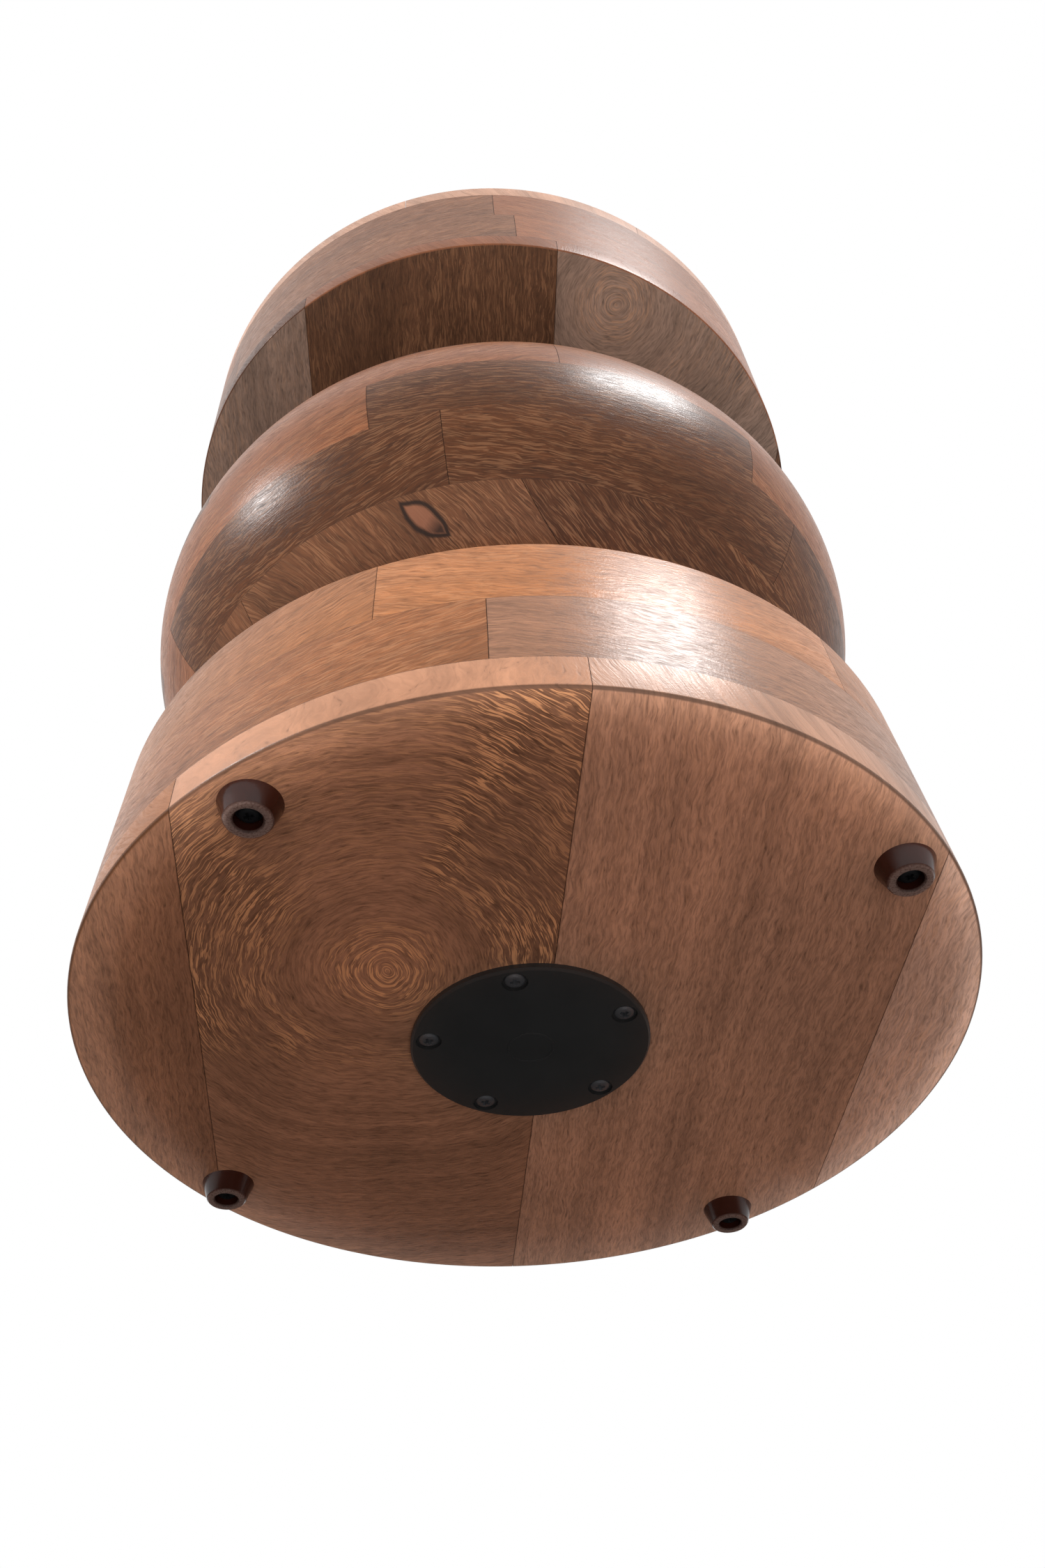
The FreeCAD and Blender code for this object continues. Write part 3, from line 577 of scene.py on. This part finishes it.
class Timber:
    """The boards of one piece, gathered into one mesh with where each point lies in its own board."""

    KINDS = {"fibre": "FLOAT_VECTOR", "growth": "FLOAT_VECTOR", "knot": "FLOAT_VECTOR",
             "stain": "FLOAT_COLOR", "figure": "FLOAT", "glue": "FLOAT"}

    def __init__(self, node, seams, edges=()):
        self.node = node
        self.seams = seams
        self.edges = edges
        self.levels = heights(node)
        self.points = []
        self.faces = []
        self.values = {name: [] for name in self.KINDS}
        self.chance = random.Random(node)

    def add(self, bm, turn, middle, look, ends, flat, knot=None):
        """Adds one board, which runs along Y once turned back.

        Ends tells which points lie at its glued edges, and flat that it is a plank of a level board.
        """
        into = Matrix.Translation(-middle) @ Matrix.Rotation(-turn, 4, "Z")
        if look.pith is None:
            # the pith lies far off on a slant, so that no face cuts the growth rings flat
            far = self.chance.choice((-1, 1)) * self.chance.uniform(140, 240) * MM
            near = self.chance.uniform(-40, 40) * MM
            slant = (far, 0, 0.3 * far + near) if flat else (0.55 * far + near, 0, 0.83 * far)
            pith = Vector(slant)
            run, through = STRAIGHT_RUN, 1.0
        else:
            pith = into @ look.pith
            run, through = SWIRL_RUN, SWIRL_THROUGH
        away = Vector((self.chance.random(), self.chance.random(), self.chance.random()))
        shade = self.chance.uniform(0.94, 1.06)
        wood = bpy.context.scene.table_wood
        stain = [c * shade for c in getattr(wood, look.stain)] + [1.0]
        rim = [c * shade for c in getattr(wood, look.rim or look.stain)] + [1.0]
        first = len(self.points)
        bm.verts.index_update()
        for v in bm.verts:
            place = into @ v.co
            grown = place - pith
            on_face = not look.rim or at_height(v.co, self.levels)
            glued = ends(v.co) or at_height(v.co, self.seams)
            worn = at_height(v.co, self.edges)
            self.points.append(v.co.copy())
            self.values["fibre"].append(place + away)
            self.values["growth"].append(Vector((grown.x, grown.y * run, grown.z * through)))
            self.values["stain"].append(stain if on_face else rim)
            self.values["figure"].append(look.figure if on_face else 0.0)
            self.values["glue"].append(EDGE_STAIN if worn else 1.0 if glued else 0.0)
            self.values["knot"].append(knot(v.co) if knot else FAR_AWAY)
        self.faces.extend([first + v.index for v in f.verts] for f in bm.faces)
        bm.free()

    def build(self):
        """Makes the piece in place of its node."""
        mesh = bpy.data.meshes.new(self.node)
        mesh.from_pydata(self.points, [], self.faces)
        for name, kind in self.KINDS.items():
            layer = mesh.attributes.new(name, kind, "POINT")
            slot = {"FLOAT_VECTOR": "vector", "FLOAT_COLOR": "color", "FLOAT": "value"}[kind]
            listed = self.values[name]
            if kind != "FLOAT":
                listed = [c for value in listed for c in value]
            layer.data.foreach_set(slot, listed)
        seat(smooth_object(self.node + "_wood", mesh, wood_material()), "stained_wood", self.node)


def ring_piece(node, outline, looks, joint, seams):
    """A ring of segments, each a straight board turned with the others; joint is one joint's direction."""
    wood = bpy.context.scene.table_wood
    timber = Timber(node, seams)
    share = math.tau / wood.segments
    rim = max(p[0] for p in outline)
    gap = wood.glue_gap / rim
    middle = Vector((rim - HALF_WALL, 0, sum(heights(node)) / 2))
    for i in range(wood.segments):
        start = math.radians(joint) + share * i
        stops = (start, start + share - gap)

        def ends(p):
            angle = math.atan2(p.y, p.x)
            return any(abs(math.remainder(angle - stop, math.tau)) < ON_JOINT for stop in stops)

        bm = turned(outline, start, share - gap)
        timber.add(bm, start + share / 2, middle, looks[i % len(looks)], ends, False)
    timber.build()


def board_piece(node, outline, looks, angle, shift, seams, knot=None, edges=()):
    """A round board of edge-glued planks, turned by an angle; shift is one joint's distance from the axis."""
    wood = bpy.context.scene.table_wood
    timber = Timber(node, seams, edges)
    turn = math.radians(angle)
    normal = Vector((math.cos(turn), math.sin(turn), 0))
    rim = max(p[0] for p in outline)
    first = math.floor((-rim - shift) / wood.plank_width)
    blank = turned(outline)
    count = 0
    while shift + (first + count) * wood.plank_width < rim:
        left = shift + (first + count) * wood.plank_width
        right = left + wood.plank_width - wood.glue_gap
        bm = blank.copy()
        if left > -rim:
            saw(bm, normal * left, -normal)
        if right < rim:
            saw(bm, normal * right, normal)

        def ends(p):
            return min(abs(p.dot(normal) - left), abs(p.dot(normal) - right)) < TOUCH

        middle = Vector(((left + right) / 2, 0, sum(heights(node)) / 2))
        timber.add(bm, turn, middle, looks[count % len(looks)], ends, True, knot)
        count += 1
    blank.free()
    timber.build()


# Outlines of the drums


def base_wall(z0, z1, ease0=0.0, ease1=0.0):
    """Corners of the base drum's tapered wall between two heights."""
    low, high = heights("base_lower_ring")
    wide = reach("base_lower_ring", max, "low")
    narrow = reach("base_lower_ring", max, "high")
    r0, r1 = (wide + (narrow - wide) * (z - low) / (high - low) - HAIR for z in (z0, z1))
    return wall(r0, z0, r1, z1, ease0, ease1)


def bullnose(z0, z1):
    """Points of the middle drum's rounded side between two heights, with strips at the glue lines."""
    equator = heights("mid_ring_2")[1]
    radius = heights("mid_top_board")[1] - equator
    middle = reach("mid_ring_2", max, "high") - radius
    lean = [math.asin(max(-1.0, min(1.0, (z - equator) / radius))) for z in (z0, z1)]
    lip = wood_strip() / radius
    inner = [lean[0] + lip + (lean[1] - lean[0] - 2 * lip) * i / NOSE_STEPS for i in range(NOSE_STEPS + 1)]
    angles = (lean[0], *inner, lean[1])
    return [(middle + radius * math.cos(a), equator + radius * math.sin(a)) for a in angles]


def bored(node, outer):
    """Outline of a ring or board from its outer side, upwards, and its bore."""
    z0, z1 = heights(node)
    bore = reach(node, min)
    return [*outer, (bore, z1), (bore, z0)]


def uneased(corners):
    """Points of corners that have no easing."""
    return [(c[0], c[1]) for c in corners]


def ring_rows(rows, side, figure=PLAIN_FIGURE):
    """Rings one above the other; each row has its node, one joint's direction and its segments' stains."""
    for node, joint, stains in rows:
        seams = heights(node)
        looks = [Look(stain, figure=figure) for stain in stains]
        ring_piece(node, bored(node, side(*seams)), looks, joint, seams)


def knot_on_side(p):
    """Where a point lies against the knot in the middle drum's side, in its half lengths and heights."""
    half_length = 14 * MM
    half_height = 5.6 * MM
    centre = Vector((-32.5, -159.3, 194.4)) * MM
    long_way = Vector((25.5, 12.2, -15.0)).normalized()
    out = Vector((-0.15, -0.72, -0.68)).normalized()
    short_way = out.cross(long_way).normalized()
    off = p - centre
    return Vector((off.dot(long_way) / half_length, off.dot(short_way) / half_height, 0))


# Operators for the drums


class TABLE_OT_base_drum(bpy.types.Operator):
    """Builds the tapered base drum: bottom board, two rings and the board let into its top"""

    bl_idname = "table.base_drum"
    bl_label = "Base drum"

    def execute(self, context):
        z0, z1 = heights("base_bottom_board")
        swirl = Vector((-59.3 * MM, -54.4 * MM, z0))
        hole = reach("base_bottom_board", min)
        outline = eased([*base_wall(z0, z1, ease0=BASE_EDGE), (hole, z1, 0), (hole, z0, BASE_HOLE_EDGE)])
        looks = [
            Look("fawn", rim="amber"),
            Look("tawny", rim="blond", figure=1.0, pith=swirl),
            Look("russet", rim="russet"),
            Look("ash", rim="fawn", figure=0.2),
        ]
        worn = [p.y for p in outline[1:EASE_STEPS]]
        board_piece("base_bottom_board", outline, looks, angle=7, shift=6 * MM, seams=[z1], edges=worn)

        seams = heights("base_lower_ring")
        outline = bored("base_lower_ring", uneased(base_wall(*seams)))
        looks = [Look("fawn"), Look("chestnut"), Look("cinnamon"), Look("amber"), Look("chestnut"),
                 Look("cinnamon", figure=0.2)]
        ring_piece("base_lower_ring", outline, looks, joint=268.5, seams=seams)

        z0, z1 = heights("base_upper_ring")
        ledge = heights("base_top_board")[0]
        rabbet = reach("base_upper_ring", min, "high")
        bore = reach("base_upper_ring", min)
        outline = eased([*base_wall(z0, z1, ease1=BASE_TOP_EDGE),
                         (rabbet, z1, 0), (rabbet, ledge, 0), (bore, ledge, 0), (bore, z0, 0)])
        looks = [Look("honey", figure=0.2), Look("amber"), Look("honey"), Look("cinnamon"), Look("amber"),
                 Look("amber")]
        ring_piece("base_upper_ring", outline, looks, joint=255.4, seams=[z0])

        z0, z1 = heights("base_top_board")
        rim = reach("base_top_board", max)
        hole = reach("base_top_board", min)
        outline = eased([(rim, z0, 0), (rim, z1, INLAID_EDGE), (hole, z1, 0), (hole, z0, 0)])
        looks = [Look("chestnut"), Look("cinnamon", figure=0.3), Look("chestnut")]
        board_piece("base_top_board", outline, looks, angle=12, shift=-60 * MM, seams=[])
        return {"FINISHED"}


class TABLE_OT_necks(bpy.types.Operator):
    """Builds the two recessed neck blocks between the drums"""

    bl_idname = "table.necks"
    bl_label = "Necks"

    def execute(self, context):
        for node, angle, shift in (("lower_neck", 20, -30 * MM), ("upper_neck", -14, 40 * MM)):
            rim = reach(node, max)
            z0, z1 = heights(node)
            timber = Timber(node, [])
            bm = turned(bored(node, [(rim, z0), (rim, z1)]))
            middle = Vector((shift, 0, (z0 + z1) / 2))
            timber.add(bm, math.radians(angle), middle, Look("umber"), lambda p: False, False)
            timber.build()
        return {"FINISHED"}


class TABLE_OT_middle_drum(bpy.types.Operator):
    """Builds the bullnosed middle drum: two boards and four rings turned to one round side"""

    bl_idname = "table.middle_drum"
    bl_label = "Middle drum"

    def execute(self, context):
        z0, z1 = heights("mid_bottom_board")
        outline = bored("mid_bottom_board", bullnose(z0, z1))
        looks = [Look("sepia"), Look("sepia", figure=0.2), Look("walnut", figure=0.2)]
        board_piece("mid_bottom_board", outline, looks, angle=-32, shift=103 * MM, seams=[z1],
                    knot=knot_on_side)

        rows = (
            ("mid_ring_1", 263.4, ("walnut", "walnut", "chestnut", "cinnamon", "chestnut", "walnut")),
            ("mid_ring_2", 252.8, ("walnut", "chestnut", "cinnamon", "chestnut", "walnut", "chestnut")),
            ("mid_ring_3", 281.0, ("chestnut", "cinnamon", "walnut", "chestnut", "walnut", "chestnut")),
            ("mid_ring_4", 267.0, ("cinnamon", "walnut", "chestnut", "walnut", "chestnut", "walnut")),
        )
        ring_rows(rows, bullnose, figure=0.15)

        z0, z1 = heights("mid_top_board")
        outline = bored("mid_top_board", bullnose(z0, z1))
        looks = [Look("chestnut"), Look("cinnamon", figure=0.3), Look("walnut")]
        board_piece("mid_top_board", outline, looks, angle=18, shift=-40 * MM, seams=[z0])
        return {"FINISHED"}


class TABLE_OT_top_drum(bpy.types.Operator):
    """Builds the straight-sided top drum: bottom board, two rings and the table top"""

    bl_idname = "table.top_drum"
    bl_label = "Top drum"

    def execute(self, context):
        rim = reach("top_lower_ring", max)
        z0, z1 = heights("top_bottom_board")
        hole = reach("top_bottom_board", min)
        swirl = Vector((84.9 * MM, -155.0 * MM, z0))
        outline = eased([*wall(rim, z0, rim, z1, ease0=TOP_DRUM_EDGE), (hole, z1, 0), (hole, z0, 0)])
        # the grey of the smoke boards under the top drum is a painted sheen of reflected light over a brown
        # stain
        looks = [
            Look("smoke", rim="walnut"),
            Look("umber", rim="chestnut"),
            Look("smoke", rim="chestnut", figure=0.18, pith=swirl),
            Look("umber", rim="walnut"),
        ]
        board_piece("top_bottom_board", outline, looks, angle=4, shift=35 * MM, seams=[z1])

        rows = (
            ("top_lower_ring", 277.3, ("chestnut", "walnut", "chestnut", "cinnamon", "walnut", "sepia")),
            ("top_upper_ring", 273.8, ("chestnut", "walnut", "walnut", "cinnamon", "chestnut", "sepia")),
        )
        ring_rows(rows, lambda low, high: uneased(wall(rim, low, rim, high)))

        z0, z1 = heights("table_top")
        outline = eased([(0, z0, 0), *wall(rim, z0, rim, z1, ease1=TABLE_EDGE), (0, z1, 0)])
        # the paler russet rim on the table top's side and eased edge is a painted highlight of the edge
        # catching the light
        looks = [
            Look("chestnut", rim="russet"),
            Look("cinnamon", rim="russet", figure=0.2),
            Look("chestnut", rim="russet", figure=0.2),
            Look("cinnamon", rim="russet"),
        ]
        board_piece("table_top", outline, looks, angle=9, shift=-72 * MM, seams=[z0])
        return {"FINISHED"}


# Screws


def islands(node):
    """Centre and half size of each separate solid of a node, in the order of the node's points."""
    bm = bmesh.new()
    bm.from_mesh(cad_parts[node].data)
    bmesh.ops.remove_doubles(bm, verts=bm.verts, dist=WELD_SOLID)
    left = set(bm.verts)
    found = []
    for first in bm.verts:
        if first not in left:
            continue
        left.remove(first)
        group = {first}
        edge = [first]
        while edge:
            near = {e.other_vert(v) for v in edge for e in v.link_edges} & left
            left -= near
            group |= near
            edge = list(near)
        low = Vector([min(v.co[i] for v in group) for i in range(3)])
        high = Vector([max(v.co[i] for v in group) for i in range(3)])
        found.append(((low + high) / 2, (high - low) / 2))
    bm.free()
    return found


def screw_outline(radius, bottom, top, shank):
    """Outline of a pan-headed screw that points up, with its head down, about the axis."""
    dome = 0.25 * (top - bottom)
    return eased([(0, shank, 0), (0.45 * radius, shank, 0), (0.45 * radius, top, 0), (radius, top, 0),
                  (radius, bottom + dome, 0.5 * dome), (0.7 * radius, bottom, 0.2 * radius), (0, bottom, 0)])


def cross_cut(bm, depth, half, width, bottom):
    """Sinks a cross recess with sloping walls into a screw's head, from below."""
    blank = placed("screw_blank", mesh_from("screw_blank", bm))
    tool = bmesh.new()
    for turn in (0, math.pi / 2):
        arm = bmesh.ops.create_cube(tool, size=1.0)["verts"]
        for v in arm:
            shorter, narrower = (0.55, 0.8) if v.co.z > 0 else (1.0, 1.0)
            v.co = Vector((v.co.x * 2 * half * shorter, v.co.y * width * narrower, v.co.z * 2 * depth))
        bmesh.ops.rotate(tool, verts=arm, cent=(0, 0, 0), matrix=Matrix.Rotation(turn, 3, "Z"))
        bmesh.ops.translate(tool, verts=arm, vec=(0, 0, bottom))
    cutter = placed("cross_tool", mesh_from("cross_tool", tool))
    boolean = blank.modifiers.new("cross", "BOOLEAN")
    boolean.operation = "DIFFERENCE"
    boolean.object = cutter
    boolean.solver = "EXACT"
    boolean.use_self = True
    made = bpy.data.meshes.new_from_object(blank.evaluated_get(bpy.context.evaluated_depsgraph_get()))
    bpy.data.objects.remove(blank)
    bpy.data.objects.remove(cutter)
    return made


def screw_set(name, node, material):
    """Screws with cross recesses in the place of a node's plain ones."""
    fittings = bpy.context.scene.table_fittings
    bm = bmesh.new()
    for count, (centre, half) in enumerate(islands(node)):
        radius = half.x
        bottom = centre.z - half.z
        outline = screw_outline(radius, bottom, bottom + PAN * radius, centre.z + half.z)
        width = fittings.cross_width * radius / CROSS_HEAD
        blank = turned(outline, steps=SCREW_STEPS)
        made = cross_cut(blank, CROSS_DEPTH * radius, CROSS_REACH * radius, width, bottom)
        turn = Matrix.Rotation(SCREW_TURN * count, 4, "Z")
        made.transform(Matrix.Translation((centre.x, centre.y, 0)) @ turn)
        bm.from_mesh(made)
    bmesh.ops.remove_doubles(bm, verts=bm.verts, dist=CRUMB)
    bmesh.ops.dissolve_degenerate(bm, dist=CRUMB, edges=bm.edges)
    seat(smooth_object(name, mesh_from(name, bm), material), "black_steel", node)


# Operators for the fittings


class TABLE_OT_cover(bpy.types.Operator):
    """Finishes the moulded cover under the base and puts in its screws"""

    bl_idname = "table.cover"
    bl_label = "Cover"

    def execute(self, context):
        fittings = context.scene.table_fittings
        plastic = moulded_plastic(
            "abs_black_satin_moulded", fittings.plate, roughness=0.36, grit=1.2 * MM, gloss=0.5)
        dress(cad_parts["cover_plate"], plastic)

        # the gate mark is a ring 1 mm wide that stands 0.3 mm proud of the face, with rounded edges
        face = heights("cover_plate")[0]
        outer = fittings.mark_radius
        inner = outer - 1.0 * MM
        sunk = face + 0.1 * MM
        proud = 0.3 * MM
        low = face - proud
        ring = [(outer, sunk, 0), (outer, low, proud), (inner, low, proud), (inner, sunk, 0)]
        mark = turned(eased(ring), steps=2 * SCREW_STEPS)
        seat(smooth_object("cover_gate_mark", mesh_from("cover_gate_mark", mark), plastic), "black_plastic")

        black = steel(
            "steel_headed_black_oxide", fittings.blacking, metallic=0.8, smoothest=0.25, roughest=0.4)
        screw_set("cover_cross_screws", "cover_screws", black)
        return {"FINISHED"}


class TABLE_OT_feet(bpy.types.Operator):
    """Finishes the four moulded feet and their washers and puts in their screws"""

    bl_idname = "table.feet"
    bl_label = "Feet"

    def execute(self, context):
        fittings = context.scene.table_fittings
        nylon = moulded_plastic(
            "nylon_brown_gloss_moulded", fittings.foot, roughness=0.17, grit=0.9 * MM, gloss=0.4,
            scuff_and_sheen=fittings.scuff_and_sheen)
        black = steel("steel_headed_phosphated", fittings.hidden, metallic=0.3, smoothest=0.5, roughest=0.7)
        for node in ("foot_1", "foot_2", "foot_3", "foot_4"):
            dress(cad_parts[node], nylon)
        dress(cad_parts["foot_washers"], black)
        screw_set("foot_cross_screws", "foot_screws", black)
        return {"FINISHED"}


class TABLE_OT_hardware(bpy.types.Operator):
    """Finishes the tie rod, nuts, plate washers and dowels inside the drums"""

    bl_idname = "table.hardware"
    bl_label = "Hidden hardware"

    def execute(self, context):
        fittings = context.scene.table_fittings
        zinc = steel("steel_zinc_plated", fittings.zinc, metallic=1.0, smoothest=0.25, roughest=0.45)
        for node in ("tie_rod", "lower_nut", "upper_nut", "lower_plate_washer", "upper_plate_washer"):
            dress(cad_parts[node], zinc)
        beech = bare_beech(fittings.dowel)
        for node in ("base_dowels", "mid_bottom_dowels", "mid_top_dowels", "top_dowels"):
            dress(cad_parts[node], beech)
        return {"FINISHED"}


# Stage


def softbox(name, power, azimuth, elevation, distance, width, height):
    """A soft area lamp that faces the table's middle; azimuth runs from the front towards the right."""
    lamp = bpy.data.lights.new(name, "AREA")
    lamp.energy = power
    lamp.shape = "RECTANGLE"
    lamp.size = width
    lamp.size_y = height
    az = math.radians(azimuth)
    el = math.radians(elevation)
    flat = distance * math.cos(el)
    obj = placed(name, lamp)
    obj.location = Vector((flat * math.sin(az), -flat * math.cos(az), MIDDLE + distance * math.sin(el)))
    obj.rotation_euler = (Vector((0, 0, MIDDLE)) - obj.location).to_track_quat("-Z", "Y").to_euler()


def showing_rays(tree):
    """A tree's light path, and which of its rays show what they meet: seen, mirrored or through something."""
    rays = add(tree, "ShaderNodeLightPath").outputs
    shown = rays["Is Camera Ray"]
    for kind in ("Is Glossy Ray", "Is Transmission Ray"):
        shown = add(tree, "ShaderNodeMath", (shown, rays[kind]), operation="MAXIMUM")
    return rays, shown


def pale_floor_material(tone):
    """Painted studio floor: pale and dull near the table, white to the eye further off, clear from below."""
    material, tree = new_material("painted_studio_floor")
    where = add(tree, "ShaderNodeTexCoord").outputs["Object"]
    distance = add(tree, "ShaderNodeVectorMath", (where,), operation="LENGTH").outputs["Value"]
    grit = add(tree, "ShaderNodeTexNoise", {"Vector": where, "Scale": 1 / (30 * MM), "Detail": 3.0})
    dull = add(tree, "ShaderNodeMapRange", {"Value": grit, "To Min": 0.7, "To Max": 0.85})
    paint = add(tree, "ShaderNodeBsdfPrincipled",
                {"Base Color": (*tone, 1.0), "Roughness": dull, "Specular IOR Level": 0.1})
    white = add(tree, "ShaderNodeEmission", {"Color": WHITE, "Strength": 1.0})
    rays, shown = showing_rays(tree)
    far = add(tree, "ShaderNodeMapRange",
              {"Value": distance, "From Min": 0.35, "From Max": 1.3}, interpolation_type="SMOOTHSTEP")
    fade = add(tree, "ShaderNodeMath", (far, shown), operation="MULTIPLY")
    lit = add(tree, "ShaderNodeMixShader", (fade, paint, white))
    clear = add(tree, "ShaderNodeBsdfTransparent")
    below = add(tree, "ShaderNodeNewGeometry").outputs["Backfacing"]
    passing = add(tree, "ShaderNodeMath", (below, rays["Is Shadow Ray"]), operation="MAXIMUM")
    floor = add(tree, "ShaderNodeMixShader", (passing, lit, clear))
    add(tree, "ShaderNodeOutputMaterial", {"Surface": floor})
    return material


def studio_world(strength):
    """Even light from all sides, in front of a plain white background."""
    world = bpy.data.worlds.new("plain_studio")
    world.use_nodes = True
    tree = world.node_tree
    tree.nodes.clear()
    shown = showing_rays(tree)[1]
    room = add(tree, "ShaderNodeBackground", {"Color": WHITE, "Strength": strength})
    white = add(tree, "ShaderNodeBackground", {"Color": WHITE, "Strength": 1.0})
    mixed = add(tree, "ShaderNodeMixShader", (shown, room, white))
    add(tree, "ShaderNodeOutputWorld", {"Surface": mixed})
    return world


class TABLE_OT_stage(bpy.types.Operator):
    """Sets the floor, room light, lamps and camera"""

    bl_idname = "table.stage"
    bl_label = "Stage"

    def execute(self, context):
        scene = context.scene
        stage = scene.table_stage
        scene.view_settings.view_transform = "Standard"
        scene.world = studio_world(stage.sky)

        bm = bmesh.new()
        bmesh.ops.create_circle(bm, cap_ends=True, radius=8.0, segments=96)
        floor = smooth_object("studio_floor", mesh_from("studio_floor", bm), pale_floor_material(stage.floor))
        # just under the feet, so that the two don't share a plane
        floor.location.z = -0.5 * MM

        softbox("key_softbox", stage.key, azimuth=46, elevation=51, distance=1.9, width=0.62, height=0.27)
        softbox("side_softbox", stage.side, azimuth=-60, elevation=20, distance=1.6, width=0.21, height=0.21)
        softbox("under_lamp", stage.under, azimuth=10, elevation=-55, distance=1.9, width=1.8, height=1.8)

        data = bpy.data.cameras.new("photo_camera")
        data.lens = stage.lens
        data.sensor_width = 36.0
        data.clip_start = 0.01
        camera = placed("photo_camera", data)
        turn = Matrix.Rotation(stage.camera_yaw, 4, "Z") @ Matrix.Rotation(stage.camera_pitch, 4, "X")
        turn = turn @ Matrix.Rotation(stage.camera_roll, 4, "Y") @ Matrix.Rotation(math.pi / 2, 4, "X")
        camera.matrix_world = Matrix.Translation((0, -stage.camera_back, stage.camera_height)) @ turn
        scene.camera = camera
        return {"FINISHED"}


# Panel and registration


class TABLE_PT_panel(bpy.types.Panel):
    """Lists the table's pieces and sizes"""

    bl_idname = "TABLE_PT_panel"
    bl_label = "Tiered side table"
    bl_space_type = "VIEW_3D"
    bl_region_type = "UI"
    bl_category = "Table"

    def draw(self, context):
        for operator in OPERATORS:
            self.layout.operator(operator.bl_idname)
        for group in SETTINGS:
            settings = getattr(context.scene, group)
            box = self.layout.box()
            for name in settings.__annotations__:
                box.prop(settings, name)


OPERATORS = (
    TABLE_OT_base_drum,
    TABLE_OT_necks,
    TABLE_OT_middle_drum,
    TABLE_OT_top_drum,
    TABLE_OT_cover,
    TABLE_OT_feet,
    TABLE_OT_hardware,
    TABLE_OT_stage,
)
SETTINGS = {"table_wood": TableWood, "table_fittings": TableFittings, "table_stage": TableStage}
CLASSES = (*SETTINGS.values(), *OPERATORS, TABLE_PT_panel)


def register():
    """Makes the classes and the scene's settings known."""
    for cls in CLASSES:
        bpy.utils.register_class(cls)
    for name, group in SETTINGS.items():
        setattr(bpy.types.Scene, name, PointerProperty(type=group))


def unregister():
    """Takes them away again."""
    for name in SETTINGS:
        delattr(bpy.types.Scene, name)
    for cls in reversed(CLASSES):
        bpy.utils.unregister_class(cls)


def main():
    """Builds the whole scene."""
    register()
    bpy.ops.table.base_drum()
    bpy.ops.table.necks()
    bpy.ops.table.middle_drum()
    bpy.ops.table.top_drum()
    bpy.ops.table.cover()
    bpy.ops.table.feet()
    bpy.ops.table.hardware()
    bpy.ops.table.stage()


if __name__ == "__main__":
    main()
